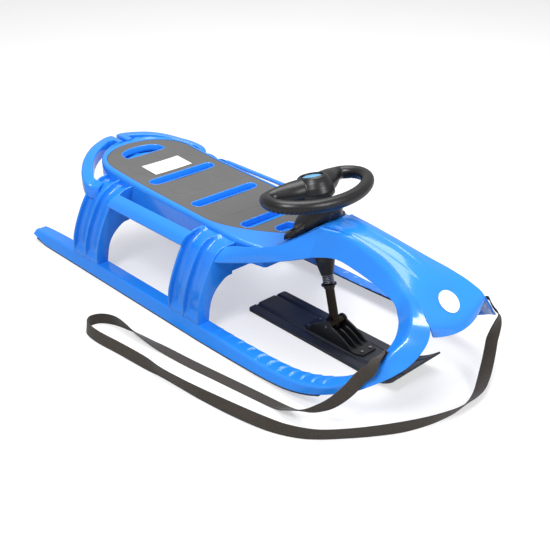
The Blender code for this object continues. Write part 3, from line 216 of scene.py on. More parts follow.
# %% [markdown]
# ## Black parts, mat, ski and metals
# The black parts have a fine grain, the mat is foam with closed cells, and the ski is smooth with
# lengthwise scratches.

# %% Black, mat and ski finishes
black = Finish("black_grained")
grain = black.noise(0.0011, 3.0, 0.6)
smear = black.noise(0.035, 3.0)
black.wear(base_color=black.mix(smear, (0.007, 0.007, 0.008), (0.013, 0.013, 0.015)),
           roughness=0.27 + smear * 0.08 + grain * 0.05, normal=black.bump(grain, 0.0001, 0.35))

foam = Finish("foam_mat")
cell = foam.noise(0.0009, 3.0, 0.7)
patch = foam.noise(0.05, 3.0)
foam.wear(base_color=foam.mix(patch * 0.6 + cell * 0.4, (0.085, 0.084, 0.084),
          (0.125, 0.123, 0.122)), roughness=0.78 + cell * 0.1,
          normal=foam.bump(cell, 0.0003, 0.6), sheen_weight=0.15)

ski_finish = Finish("ski_plastic")
scratch = ski_finish.noise(0.002, 4.0, 0.7, (0.06, 1.0, 1.0))
haze = ski_finish.noise(0.06, 2.0)
ski_finish.wear(base_color=ski_finish.mix(haze, (0.016, 0.018, 0.026),
                (0.028, 0.031, 0.043)), roughness=0.3 + scratch * 0.18,
                normal=ski_finish.bump(scratch, 0.0001, 0.4))
print("made", black.material.name, foam.material.name, ski_finish.material.name)

# %% Metal, label and badge finishes
def metal(name, colour, rough, streak=(1.0, 1.0, 1.0)):
    """Metal whose streaks of wear run along the short sides of streak."""
    made = Finish(name)
    rub = made.noise(0.0015, 3.0, 0.6, streak)
    stain = made.noise(0.02, 3.0)
    dark = tuple(0.7 * value for value in colour)
    return made.wear(base_color=made.mix(stain, dark, colour), roughness=rough + rub * 0.16,
                     normal=made.bump(rub, 0.00005, 0.4), metallic=1.0)


def plain(name, lump, low, high, rough, spread):
    """Smooth finish whose colour and roughness drift a little over lumps of one size."""
    made = Finish(name)
    drift = made.noise(lump, 2.0)
    return made.wear(base_color=made.mix(drift, low, high), roughness=rough + drift * spread)


bright_steel = metal("spring_wire", (0.52, 0.52, 0.54), 0.24)
screw_steel = metal("screw_steel", (0.34, 0.34, 0.35), 0.3)
strip_steel = metal("runner_steel", (0.1, 0.1, 0.11), 0.34, (0.05, 1.0, 1.0))
shaft_steel = metal("shaft_steel", (0.06, 0.045, 0.035), 0.32, (1.0, 1.0, 0.2))

film = plain("bare_film", 0.004, (0.8, 0.8, 0.79), (0.86, 0.86, 0.85), 0.3, 0.1)
badge_finish = plain("badge_blue", 0.01, (0.1, 0.38, 0.66), (0.15, 0.46, 0.74), 0.22, 0.06)
print("made metals, film and badge")

# %% [markdown]
# ## Webbing
# The strap is woven: ribs run across it and are shallower along its two selvedges. Its own map
# gives metres along and across it.

# %% Webbing finish
STRAP_WIDTH = 0.025
webbing = Finish("webbing")
rib = (webbing.along(0) * (2 * math.pi / 0.0024)).wave() * 0.5 + 0.5
yarn = (webbing.along(1) * (2 * math.pi / 0.0011)).wave() * 0.5 + 0.5
across = (webbing.along(1) - 0.5 * STRAP_WIDTH).size() / (0.5 * STRAP_WIDTH)
selvedge = across > 0.88
dust = webbing.noise(0.012, 4.0)
height = rib * (1 - selvedge * 0.7) + yarn * 0.25
# Base colour: lighter on the rib crests and darker between them, which is painted shade in the weave's
# valleys; the dust noise is random tone.
webbing.wear(base_color=webbing.mix((rib * 0.55 + dust * 0.45).clamp(),
             (0.014, 0.01, 0.007), (0.06, 0.047, 0.035)),
             roughness=0.8 + dust * 0.1, normal=webbing.bump(height, 0.0005, 0.8),
             sheen_weight=0.2)
print("made", webbing.material.name)

# %% [markdown]
# ## Curves and grids
# Nearly every piece is a net: rows along the piece and columns round its section. A Catmull-Rom
# curve runs through chosen points, and the same sum on whole rows bends a net.

# %% Curve through points
def mm(*rows):
    """Table of points that is given in millimetres."""
    return np.array(rows) * 0.001


def through(points, steps):
    """Curve through points, steps to a span: a cubic in t whose tangent at each point is half
    the step between that point's neighbours."""
    p = np.concatenate([2 * points[:1] - points[1:2], points, 2 * points[-1:] - points[-2:-1]])
    t = (np.arange(steps) / steps).reshape((1, steps) + (1,) * (points.ndim - 1))
    a, b, c, d = (p[i:len(p) - 3 + i][:, None] for i in range(4))
    curve = 0.5 * (2 * b + (c - a) * t + (2 * a - 5 * b + 4 * c - d) * t ** 2
                   + (3 * b - a - 3 * c + d) * t ** 3)
    return np.concatenate([curve.reshape((-1,) + points.shape[1:]), points[-1:]])


def lengths(line):
    """Length run along a line of points, at each point."""
    return np.concatenate([[0.0], np.cumsum(np.linalg.norm(np.diff(line, axis=0), axis=1))])


def even(rows, step):
    """The rows again, at equal steps of length along their first column."""
    run = lengths(rows[:, 0] if rows.ndim == 3 else rows)
    count = max(int(round(run[-1] / step)), 2)
    places = np.linspace(0.0, run[-1], count + 1)
    out = [np.interp(places, run, column) for column in rows.reshape(len(rows), -1).T]
    return np.stack(out, axis=1).reshape((count + 1,) + rows.shape[1:])


def grid(*parts):
    """Points from arrays of their coordinates, spread to one shape."""
    return np.stack(np.broadcast_arrays(*parts), axis=-1)


def unit(vectors):
    return vectors / np.maximum(np.linalg.norm(vectors, axis=-1, keepdims=True), 1e-12)


def smooth(edge0, edge1, value):
    """0 below edge0, 1 above edge1 and an S-shaped cubic between."""
    t = np.clip((value - edge0) / (edge1 - edge0), 0.0, 1.0)
    return t * t * (3 - 2 * t)


print("curve helpers ready")

# %% Rounded sections
def rounded(corners, radii, extra, arc=5):
    """Sections (rows, corners, 3) with a parabola for each corner, which starts and ends a radius
    from it, and extra points along the side that follows."""
    def toward(here, there, radius):
        reach = np.minimum(radius, 0.45 * np.linalg.norm(there - here, axis=1))
        return here + unit(there - here) * reach[:, None]

    ring = list(np.moveaxis(corners, 1, 0))
    count = len(ring)
    starts = [toward(ring[i], ring[i - 1], radii[i]) for i in range(count)]
    ends = [toward(ring[i], ring[(i + 1) % count], radii[i]) for i in range(count)]
    t = np.linspace(0.0, 1.0, arc)[None, :, None]
    parts, kinds = [], []
    for i in range(count):
        first, here, last = (side[i][:, None] for side in (starts, ring, ends))
        parts.append((1 - t) ** 2 * first + 2 * t * (1 - t) * here + t ** 2 * last)
        kinds += [(i, -1.0)] * arc
        if extra[i]:
            s = (np.arange(extra[i]) + 1.0) / (extra[i] + 1.0)
            onward = starts[(i + 1) % count][:, None]
            parts.append(last + (onward - last) * s[None, :, None])
            kinds += [(i, float(value)) for value in s]
    return np.concatenate(parts, axis=1), kinds


# %% Nets to meshes
def net_piece(name, net, loop=True, caps=True):
    """Mesh over a net (rows, columns, 3) with its map in metres; loop joins the last column to
    the first, and caps close both ends."""
    rows, columns = net.shape[:2]
    index = np.arange(rows * columns).reshape(rows, columns)
    if loop:
        index = np.concatenate([index, index[:, :1]], axis=1)
    quads = np.stack([index[:-1, :-1], index[:-1, 1:], index[1:, 1:], index[1:, :-1]], axis=-1)
    faces = quads.reshape(-1, 4).tolist()
    if caps:
        faces.append(list(range(columns))[::-1])
        faces.append(list(range((rows - 1) * columns, rows * columns)))
    run, girth = lengths(net[:, columns // 2]), lengths(net[rows // 2])
    places = grid(run[:, None], girth[None, :]).reshape(-1, 2)
    mesh = bpy.data.meshes.new(name)
    mesh.from_pydata(net.reshape(-1, 3).tolist(), [], faces)
    corners = np.empty(len(mesh.loops), dtype=np.int32)
    mesh.loops.foreach_get("vertex_index", corners)
    layer = mesh.uv_layers.new(name="UVMap")
    layer.data.foreach_set("uv", places[corners].astype(np.float32).ravel())
    work = bmesh.new()
    work.from_mesh(mesh)
    bmesh.ops.remove_doubles(work, verts=work.verts, dist=1e-6)
    bmesh.ops.dissolve_degenerate(work, edges=work.edges, dist=1e-7)
    bmesh.ops.recalc_face_normals(work, faces=work.faces)
    work.to_mesh(mesh)
    work.free()
    mesh.shade_smooth()
    return linked(name, mesh)


def dress(piece, finish, body, slot, *nodes, sharp=35.0):
    """Give a piece its finish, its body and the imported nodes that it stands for."""
    piece.data.materials.clear()
    piece.data.materials.append(finish.material)
    piece.data.set_sharp_from_angle(angle=math.radians(sharp))
    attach(piece, body)
    if nodes:
        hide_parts(*nodes)
    print(piece.name, len(piece.data.polygons), "faces")
    return piece


def moulding(name, net, *nodes, sharp=35.0, caps=True):
    """Blue piece of the sled over a net."""
    return dress(net_piece(name, net, caps=caps), blue, "sled", "blue_moulding", *nodes, sharp=sharp)


def mirror(net, side):
    """The same net on the left (side 1) or the right (side -1)."""
    return net * np.array([1.0, side, 1.0])


def tube(line, radius, columns, upward):
    """Round sections p + r (cos a * top + sin a * side) about a line of points p."""
    along = unit(np.gradient(line, axis=0))
    side = unit(np.cross(along, np.asarray(upward, float)))
    top = np.cross(side, along)
    turn = np.arange(columns) * 2 * math.pi / columns
    radius = np.broadcast_to(radius, (len(line), columns))[..., None]
    circle = np.cos(turn)[None, :, None] * top[:, None] + np.sin(turn)[None, :, None] * side[:, None]
    return line[:, None] + radius * circle


def rod(name, start, end, radius):
    """Round bar between two points of one y, used as a cutter."""
    return net_piece(name, tube(np.array([start, end]), radius, 48, (0.0, 1.0, 0.0)))


def slab(x, y, top, under):
    """Net round a layer: its top surface one way and its underside back."""
    return np.concatenate([grid(x, y, top), grid(x, y, under)[:, ::-1]], axis=1)


def prism(name, outline, low, high):
    """Closed outline pushed up from one height to another."""
    rows = [np.column_stack([outline, np.full(len(outline), z)]) for z in (low, high)]
    return net_piece(name, np.stack(rows))


def settle(piece):
    """Turn a piece's modifiers into its mesh."""
    bpy.context.view_layer.update()
    shaped = piece.evaluated_get(bpy.context.evaluated_depsgraph_get())
    mesh = bpy.data.meshes.new_from_object(shaped)
    piece.modifiers.clear()
    piece.data = mesh
    mesh.shade_smooth()
    return piece


def modify(piece, kind, **settings):
    """Add a modifier of one kind and set it."""
    made = piece.modifiers.new(kind.lower(), kind)
    for key, value in settings.items():
        setattr(made, key, value)


def carve(piece, *cutters, operation="DIFFERENCE"):
    """Cut closed meshes out of a piece, or join them to it, and take them away."""
    for cutter in cutters:
        modify(piece, "BOOLEAN", operation=operation, solver="EXACT", object=cutter)
    settle(piece)
    for cutter in cutters:
        bpy.data.objects.remove(cutter)
    return piece


def round_edges(piece, width, segments, limit):
    modify(piece, "BEVEL", width=width, segments=segments, limit_method="ANGLE",
           angle_limit=math.radians(limit))


def soften(piece, width, segments):
    """Round the sharp edges of a piece."""
    round_edges(piece, width, segments, 45.0)
    return settle(piece)


SIDES = (("left", 1.0), ("right", -1.0))
CORNERS = ((-1, -1), (1, -1), (1, 1), (-1, 1))

# %% [markdown]
# ## The pull strap
# The strap leaves a slot in the right-hand bow, lies flat on the floor, rolls on to its edge for
# the loop and the way back, and climbs to the left-hand slot. It is flat, so the way its width
# points is chosen along with its route.

# %% Side strip of the moulding, row by row
BOW = mm(
    (262, 49.5, 276, 262, 74, 217, 262, 40, 276.5),
    (325.6, 41.8, 275.2, 319, 63, 231, 325.8, 33.6, 278.8),
    (379.7, 44.1, 265.5, 378, 63, 226, 381.8, 35.6, 272.2),
    (439.4, 52.6, 251.1, 443, 72, 218.7, 441.6, 41.2, 260.1),
    (492.6, 69.3, 235.3, 489, 85.5, 213, 506.6, 61, 238.2),
    (520.5, 78.3, 222.6, 502, 88, 194, 544.3, 74.4, 221.5), (540, 96, 205, 509, 92, 178, 574, 83, 200),
    (547, 117, 177.5, 516, 108, 160, 583, 100, 172), (540.4, 146, 155, 519.7, 135, 145, 575, 130, 140),
    (531, 166.5, 134, 512, 152, 125, 558, 163, 119), (512, 185, 112, 500, 168, 111, 532, 187, 98),
    (489, 200, 90.5, 484, 178, 98, 502, 202, 77), (440, 211.5, 60, 446, 180, 75, 430, 215, 39),
    (362, 212.5, 34, 371, 180, 46, 364, 221.5, 18), (287, 212.5, 26, 300, 180, 34, 294, 222.5, 8.5),
    (200, 212.5, 26, 205, 180, 30, 205, 223.5, 5), (130, 212.5, 28.5, 130, 180, 29, 130, 224.5, 3.7),
    (80, 212.5, 29, 80, 180, 29, 80, 225, 3.3)).reshape(-1, 3, 3)
SLOT_ROW = 34


def square(vector, axis):
    """Direction of a vector without its part along an axis."""
    return unit(vector - vector @ axis * axis)


def slot_frame(side):
    """Ridge point of the strap's slot with its along, inward, normal and front directions."""
    rows = mirror(through(BOW, 4), side)
    ridge, inner, outer = rows[SLOT_ROW]
    tangent = unit(rows[SLOT_ROW - 1][0] - rows[SLOT_ROW + 1][0])
    inward, forward = square(inner - ridge, tangent), square(outer - ridge, tangent)
    normal, front = square(-forward, inward), square(-inward, forward)
    return ridge, tangent, inward, normal, front


print("strap slot ridge", np.round(slot_frame(1.0)[0], 4))

# %% Strap
STRAP_THICKNESS = 0.0018
SLOT_PLACE = 0.0142
WALL = 0.006

STRAP_ROWS = np.array([
    (528.9, -169.9, 149.3, -89, 20, -41), (527, -184.8, 130.2, -93, -24, -26),
    (514.1, -196.2, 111.8, -91, -40, 7), (505, -211.6, 90.9, -77, -60, 22),
    (495.4, -226.5, 74.4, -60, -55, 58), (483, -239, 59.5, -40, -55, 73), (468, -249, 47.4, -20, -62, 76),
    (443.9, -258, 32, 0, -76, 64), (403.9, -261.5, 15, 0, -93, 37), (369.6, -259, 3, 0, -100, 8),
    (297.6, -268.1, 1.6, 0, -100, 0), (219.8, -279.1, 1.6, 0, -100, 0), (138.2, -290.7, 1.6, 0, -100, 0),
    (64.6, -299, 2.8, 0, -100, 10), (21.3, -305, 6.2, 0, -93, 37), (-19.7, -309, 9.8, 0, -76, 64),
    (-50.3, -311.5, 12.4, 0, -45, 89), (-83.3, -315, 13.4, 0, -15, 99), (-107.4, -324, 13.6, 0, 0, 100),
    (-123.4, -338.5, 13.6, 0, 0, 100), (-127.1, -358, 13.6, 0, 0, 100), (-114, -374.9, 13.6, 0, 15, 99),
    (-91.8, -381.2, 13.6, 0, 30, 95), (-53.4, -381.2, 13.6, 0, 40, 92), (7.9, -374, 13.6, 0, 42, 91),
    (78.8, -367.7, 13.6, 0, 40, 92), (135.6, -364, 13.6, 0, -5, 100), (198.2, -358.1, 13.6, 0, 0, 100),
    (253.2, -351.5, 13.6, 0, 20, 98), (326.3, -339.5, 13.6, 0, 45, 89), (390, -326, 13.6, 5, 48, 87),
    (431.6, -313, 13.6, 10, 25, 96), (465.7, -295, 13.6, 5, 5, 100), (492.5, -272.9, 13.6, 8, -10, 99),
    (520, -240, 13.6, 10, -10, 99), (548.5, -200, 13.6, 5, -5, 100), (578.5, -150, 13.6, 0, 0, 100),
    (599, -104, 13.6, 15, -5, 98), (610, -68, 13.4, 30, -10, 94), (616.5, -33, 12.5, 45, -15, 87),
    (617, 3, 11.8, 59, -20, 78), (614, 30, 11.8, 74, 0, 66), (607.5, 56, 13.8, 82, 27, 48),
    (596.3, 83, 19, 80, 50, 25), (587.2, 103, 26.5, 74, 66, 8), (579.3, 120, 39.3, 69, 72, 0),
    (573.5, 132, 55.1, 69, 72, 0), (569.1, 140.9, 73.1, 66, 75, -6), (569, 146.8, 89.1, 51, 83, -22),
    (570.7, 149.9, 112, 9, 82, -57), (568.4, 153.5, 128, -27, 72, -64)]) * ([0.001] * 3 + [0.01] * 3)


def strap_route():
    """The strap's middle line and the direction of its width, six numbers to a row."""
    ridge, along, inward, normal, front = slot_frame(-1.0)
    place = ridge + inward * SLOT_PLACE
    points = [place - WALL * normal, place + 0.0035 * normal, ridge + 0.009 * inward + 0.0095 * normal]
    first = [np.concatenate([point, -along]) for point in points]
    ridge, along, inward, normal, front = slot_frame(1.0)
    place = ridge + inward * SLOT_PLACE
    down = np.cross(front, along)
    points = [ridge + 0.0036 * front + 0.022 * down, ridge + 0.0035 * front + 0.01 * down,
              ridge + 0.0035 * (front + normal), ridge + 0.007 * inward + 0.0042 * normal,
              place + 0.0035 * normal, place - WALL * normal]
    last = [np.concatenate([point, -along]) for point in points]
    return np.concatenate([first, STRAP_ROWS, last])


def ribbon(points, widths, width, thickness):
    """Rounded rectangle swept along points, its width square to the route."""
    along = unit(np.gradient(points, axis=0))
    across = widths - np.sum(widths * along, axis=1, keepdims=True) * along
    across = unit(across) * width / 2
    thick = unit(np.cross(along, across)) * thickness / 2
    corners = np.stack([points + a * across + b * thick for a, b in CORNERS], axis=1)
    net, _ = rounded(corners, [0.0006] * 4, [8, 0, 8, 0], arc=3)
    return net


both = even(through(strap_route(), 12), 0.0025)
strap_line, strap_widths = both[:, :3], both[:, 3:]
strap = net_piece("strap", ribbon(strap_line, strap_widths, STRAP_WIDTH, STRAP_THICKNESS))
dress(strap, webbing, "sled", "webbing", "pull_strap", sharp=60.0)

# %% [markdown]
# ## Side strips: runner and bow in one sweep
# Each runner bends up round the front and runs back under the hood as one channel. Its section
# turns and changes all the way, so each row gives three corners of it. The foot grips are pressed
# in behind the bend.

# %% Grip relief
TAIL = mm(
    *[(x, 212.5, 29, x, 180, 29, x, 225, 3.3) for x in (20, -60, -160, -260, -360, -440, -490)],
    (-540, 212.5, 27, -540, 180, 27, -540, 225, 3.8),
    (-576, 212.5, 26.3, -576, 181.5, 26.3, -576, 224.2, 9.8),
    (-602, 212.5, 25.5, -602, 184, 25.5, -602, 223, 14.5)).reshape(-1, 3, 3)
GRIP_PITCH = 0.0315
GRIP_START = 0.085
GRIP_END = 0.478
GRIP_HEIGHT = 0.0027


def grip_relief(run, across, place):
    """Foot grips: low steps at bowed lines, which grow towards the bend and fade at the margins."""
    bowed = run + 0.012 * (1 - (1.7 * across - 1.0) ** 2)
    phase = np.mod(bowed, GRIP_PITCH) / GRIP_PITCH
    wave = np.where(phase < 0.16, 1 - smooth(0.0, 0.16, phase), ((phase - 0.16) / 0.84) ** 1.4)
    x, z = place[..., 0], place[..., 2]
    ends = smooth(GRIP_START, GRIP_START + 0.02, x) * (1 - smooth(GRIP_END - 0.02, GRIP_END, x))
    ends = ends * (1 - smooth(0.05, 0.07, z))
    growth = 0.6 + 0.55 * smooth(0.26, 0.44, x)
    return GRIP_HEIGHT * growth * (wave - 0.7) * ends * smooth(0.05, 0.18, across)


# %% Strips
STRIP_STEP = 0.0026
strip_rows = even(through(np.concatenate([BOW, TAIL]), 8), STRIP_STEP)


def channel(rows, wall):
    """Six corners of the channel: outer edge, ridge, inner edge and back inside."""
    ridge, inner, outer = np.moveaxis(rows, 1, 0)
    to_outer = unit(outer - ridge)
    to_inner = unit(inner - ridge)
    return np.stack([outer, ridge, inner, inner + wall * to_outer,
                     ridge + wall * (to_outer + to_inner), outer + wall * to_inner], axis=1)


net, kinds = rounded(channel(strip_rows, WALL), [0.0018, 0.0045, 0.0022, 0.0018, 0.003, 0.0018],
                     [10, 18, 0, 4, 4, 0])
across = np.array([share if side == 1 and share > 0 else -1.0 for side, share in kinds])
ridge_line, inner_line, outer_line = np.moveaxis(strip_rows, 1, 0)
run = lengths(ridge_line)
run = run[-1] - run
face_normal = unit(np.cross(inner_line - ridge_line, unit(np.gradient(ridge_line, axis=0))))
face_normal *= np.sign(np.sum(face_normal * (ridge_line - outer_line), axis=1))[:, None]
relief = grip_relief(run[:, None], np.clip(across, 0, 1)[None, :], strip_rows[:, :1])
relief = np.where(across[None, :] >= 0, relief, 0.0)
at_edge = grip_relief(run[:, None], 0.97, strip_rows[:, :1])
rim = np.array([1.0 if side == 2 and share <= 0 else 0.0 for side, share in kinds])
relief = relief + at_edge * rim[None, :] * 0.8
strip_net = net + relief[..., None] * face_normal[:, None, :]

for label, side in SIDES:
    strip = net_piece(f"side_strip_{label}", mirror(strip_net, side))
    ridge, slot_along, inward, normal, front = slot_frame(side)
    middle = ridge + inward * SLOT_PLACE
    half_slot = slot_along * (STRAP_WIDTH / 2 + 0.002)
    corners = np.array([middle + a * half_slot + b * inward * 0.0033 for a, b in CORNERS])
    opening = net_piece("opening", np.stack([corners - 0.012 * normal, corners + 0.012 * normal]))
    notches = []
    for y in (0.187, 0.193, 0.199):
        outline = [(-0.61, y), (-0.5945, y), (-0.5945, y + 0.003), (-0.61, y + 0.003)]
        notches.append(prism("notch", np.array(outline) * [1, side], 0.019, 0.032))
    carve(strip, opening, *notches)
    dress(strip, blue, "sled", "blue_moulding", f"runner_{label}", f"bow_{label}")

# %% [markdown]
# ## Arched legs
# Each leg has three thin ribs and two scooped webs. Its skin is the rib's profile pushed in by a
# depth: none on a rib, most in the middle of a web, and nothing below where a scoop starts.

# %% Seat line
SEAT_LINE = through(mm(
    (-475, 254), (-400, 246), (-320, 238), (-230, 232), (-140, 228.5), (-50, 225.5), (40, 221.5),
    (124, 217), (170, 215)), 8)


def seat_height(x):
    """Height of the mat's surface along the middle of the seat's edge."""
    return np.interp(x, *SEAT_LINE.T)


# %% Legs
RIB_PROFILE = mm(
    (212.5, 27), (216, 70), (212.5, 103.5), (205.5, 135), (195, 168.5), (183, 194.5), (174, 204.5),
    (165, 212), (147, 222.5), (128, 226))
INNER_PROFILE = mm((128, 130.5), (145, 128), (167, 108), (178, 85), (181, 60), (180.5, 27))
SHOULDER_DROP = 0.008
RIB_SPACING = 0.05
RIB_HALF = 0.0025
SCOOP_DEPTH = 0.0165
SCOOP_START = 0.01
LEAN_ZERO = 0.029


def scoop(offset, run):
    """Depth below the rib line: a squarish arch between ribs times a quarter circle where the
    scoop starts and a fade towards the seat."""
    from_rib = np.abs(offset - np.round(offset / RIB_SPACING) * RIB_SPACING)
    gap = np.clip((from_rib - RIB_HALF) / (RIB_SPACING / 2 - RIB_HALF), 0.0, 1.0)
    hollow = (1 - (1 - gap) ** 5) ** 0.5
    start = np.clip((run - SCOOP_START) / 0.034, 0.0, 1.0)
    start = np.sqrt(1 - (1 - start) ** 2)
    fade = 1 - 0.45 * smooth(0.2, 0.275, run)
    on_rib = 0.0011 * np.clip((from_rib - 0.0009) / (RIB_HALF - 0.0009), 0.0, 1.0) ** 2
    return np.where(from_rib <= RIB_HALF, on_rib, 0.0011 + SCOOP_DEPTH * hollow * start * fade)


def beside(line):
    """Unit normals of a line in a plane."""
    along = unit(np.gradient(line, axis=0))
    return grid(along[:, 1], -along[:, 0])


def leg_net(foot_x, lean):
    """Net of one leg: rows along the sled, columns up the outside and down the inside."""
    outer = even(through(RIB_PROFILE, 8), 0.0035)
    inner = even(through(INNER_PROFILE, 6), 0.006)
    run = lengths(outer)
    near = np.array([-1.0, -0.86, -0.6, -0.2, 0.2, 0.6, 0.86, 1.0]) * RIB_HALF
    gap = RIB_HALF + (RIB_SPACING - 2 * RIB_HALF) * np.concatenate(
        [[0.012, 0.03, 0.06, 0.1], np.linspace(0.16, 0.84, 11), [0.9, 0.94, 0.97, 0.988]])
    offsets = np.concatenate([near, gap, RIB_SPACING + near, RIB_SPACING + gap, 2 * RIB_SPACING + near])
    depth = scoop(offsets[:, None], run[None, :])
    skin = outer[None] - beside(outer)[None] * depth[..., None]
    ends = np.minimum(offsets + RIB_HALF, 2 * RIB_SPACING + RIB_HALF - offsets)
    pull = 0.0011 * np.clip(1 - ends / 0.001, 0.0, 1.0) ** 2
    back_skin = inner[None] - beside(inner)[None] * pull[:, None, None]
    flat = np.concatenate([skin, back_skin], axis=1)
    y, z = flat[..., 0], flat[..., 1]
    x = foot_x + offsets[:, None] + lean * (z - LEAN_ZERO)
    spare = seat_height(x) - SHOULDER_DROP - z
    soft = 0.5 * (spare - np.sqrt(spare ** 2 + 0.004 ** 2))
    z = z + np.where(z > 0.15, soft + 0.0003, 0.0)
    x = foot_x + offsets[:, None] + lean * (z - LEAN_ZERO)
    return grid(x, y, z)


ARCHES = (("rear", -0.419, 0.25), ("front", -0.0343, 0.17))
for place, foot_x, lean in ARCHES:
    for label, side in SIDES:
        moulding(f"leg_{place}_{label}", mirror(leg_net(foot_x, lean), side),
                 f"arch_{place}_{label}", sharp=40.0)

# %% [markdown]
# ## Rails
# Two sloping bands tie the legs together and to the hood. Their lower edge is rolled, which is
# why a long highlight runs along it.

# %% Rails
RAIL_WALL = 0.0055


def band(top, low, bulge, wall):
    """Six corners of a sloping band: top, middle pushed out by the bulge, low, and the same
    three set in by the wall."""
    drop = unit(low - top)
    inward = unit(grid(0.0, -np.abs(drop[:, 2]), -np.abs(drop[:, 1])))
    middle = (top + low) / 2 - inward * bulge[:, None]
    inside = wall * inward
    return np.stack([top, middle, low, low + inside, middle + inside, top + inside], axis=1)


def leaning(x, lean, *section):
    """A rail's row of points (y, z) at a place along a leaning leg."""
    return [(x + lean * (z - LEAN_ZERO), y, z) for y, z in section]


side_section = (0.163, 0.2125), (0.195, 0.1905)
side_rows = np.array([leaning(x, lean, *side_section)
                      for x, lean in ((-0.32, 0.25), (-0.18, 0.21), (-0.03, 0.17))])
front_rows = np.concatenate([[leaning(0.062, 0.17, (0.1585, 0.209), (0.188, 0.181))], mm(
    (120, 150, 217, 120, 165, 183), (165, 132, 224, 165, 139, 190), (210, 102, 238, 210, 114, 202),
    (240, 74, 258, 240, 92, 210), (263, 49.4, 276.2, 263, 73.8, 217.2)).reshape(-1, 2, 3)])
RAILS = (("side_rail", side_rows, (0.006, 0.006, 0.006)),
         ("front_rail", front_rows, (0.006, 0.004, 0.003, 0.002, 0.001, 0.0)))
for label, side in SIDES:
    for name, rows, bulges in RAILS:
        bulge = np.repeat(np.array(bulges)[:, None, None], 3, axis=2)
        line = even(through(np.concatenate([rows, bulge], axis=1), 10), 0.005)
        net, _ = rounded(band(line[:, 0], line[:, 1], line[:, 2, 0], RAIL_WALL),
                         [0.002, 0.014, 0.0035, 0.002, 0.014, 0.0016], [3, 3, 0, 3, 3, 0], arc=7)
        moulding(f"{name}_skin_{label}", mirror(net, side), f"{name}_{label}")

# %% [markdown]
# ## Rear handles
# A flat band runs on from each rear leg round the back of the seat to a narrow slit. It is open
# below, so its inner wall shows as a deep dark side.

# %% Handles
HANDLE_ROWS = mm(
    (-358, 166, 202, -362, 145, 212), (-370, 180, 208, -370, 157, 220), (-384, 185, 214, -380, 158, 224),
    (-400, 180, 220, -391, 154.5, 226.5), (-420, 170, 226, -408, 143.5, 232),
    (-440, 156, 231, -424, 131.5, 237), (-461, 138, 238, -441.5, 117, 242),
    (-481, 114, 245.5, -459, 97, 247.5), (-500, 85, 251, -476, 73, 251), (-516, 55, 253, -489, 50, 253),
    (-527, 30, 253.5, -499, 33, 253), (-529, 12.5, 253.5, -498.5, 22.8, 253.5),
    (-523.5, 6.2, 253.5, -485, 22, 253.5), (-500, 6, 253.5, -478, 22, 253.5),
    (-472.3, 6, 253.5, -472.3, 22, 253.5)).reshape(-1, 2, 3)
HANDLE_DEPTH = 0.03
HANDLE_WALL = 0.0045


def open_channel(rows, wall, depth):
    """Eight corners of a channel that hangs down from the band between two edges."""
    outer, inner = rows[:, 0], rows[:, 1]
    across = inner - outer
    across[:, 2] = 0.0
    across = unit(across) * wall
    low, roof = np.array([0.0, 0.0, -depth]), np.array([0.0, 0.0, -wall])
    return np.stack([outer + low, outer, inner, inner + low, inner - across + low,
                     inner - across + roof, outer + across + roof, outer + across + low], axis=1)


handle_rows = even(through(HANDLE_ROWS, 10), 0.004)
handle_net, _ = rounded(open_channel(handle_rows, HANDLE_WALL, HANDLE_DEPTH),
                        [0.0015, 0.006, 0.0045, 0.0015, 0.0015, 0.002, 0.002, 0.0015],
                        [3, 8, 3, 0, 2, 3, 2, 0])
for label, side in SIDES:
    moulding(f"rear_handle_{label}", mirror(handle_net, side), f"handle_{label}")

# %% [markdown]
# ## Seat
# The seat is a hollow shell, round at the back, whose top dips along its middle. The mat lies in a
# shallow pocket. Four slots and a thumb opening go through the mat into cups in the shell.

# %% Seat outlines
SEAT_REAR_X, SEAT_FRONT_X, SEAT_ROUND_X = -0.472, 0.165, -0.36
SEAT_HALF, SEAT_REAR_HALF, SEAT_DEPTH, SEAT_TOP_WALL = 0.1275, 0.03, 0.048, 0.0165
MAT_HALF, MAT_REAR_X, MAT_TAPER_X, MAT_FRONT_X = 0.116, -0.4585, -0.02, 0.158
MAT_THICKNESS, SEAT_DISH = 0.004, 0.004
SLOTS = ((-0.241, 0.0936), (-0.085, 0.0927), (0.0605, 0.074), (0.1185, 0.026))
SLOT_WIDTH, CUP_DEPTH, THUMB_X = 0.028, 0.012, MAT_REAR_X + 0.0725


def round_end(x, rear, half):
    """Half ellipse h sqrt(1 - t squared), where t runs from the round's start to the rear."""
    t = np.clip((SEAT_ROUND_X - x) / (SEAT_ROUND_X - rear), 0.0, 1.0)
    return half * np.sqrt(1 - t * t)


def seat_half(x):
    narrow = np.interp(x, (0.095, 0.13, SEAT_FRONT_X), (0.0, 0.006, 0.0155))
    return np.maximum(round_end(x, SEAT_REAR_X - 0.004, SEAT_HALF) - narrow, SEAT_REAR_HALF)


def mat_half(x):
    t = np.clip((x - MAT_TAPER_X) / (MAT_FRONT_X - MAT_TAPER_X), 0.0, 1.0)
    return np.maximum(round_end(x, MAT_REAR_X, MAT_HALF) * (1 - t ** 1.8), 0.004)


def dished(x, y):
    """Top of the seat: h(x) - d (1 - s squared), with s the share of the mat's half width."""
    share = np.minimum(np.abs(y) / MAT_HALF, 1.0)
    return seat_height(x) - SEAT_DISH * (1 - share ** 2)


def seat_places(rear, front, step):
    """Places along the seat, close together where its back is round."""
    turn = np.sin(np.linspace(0, math.pi / 2, 34)) ** 1.6
    rest = np.arange(SEAT_ROUND_X + step, front, step)
    return np.concatenate([rear + (SEAT_ROUND_X - rear) * turn, rest, [front]])


def ring_net(x, ys, zs):
    """Net from lists of y and z arrays along x, in order round the section."""
    return grid(x[:, None], np.stack(ys, axis=1), np.stack(zs, axis=1))


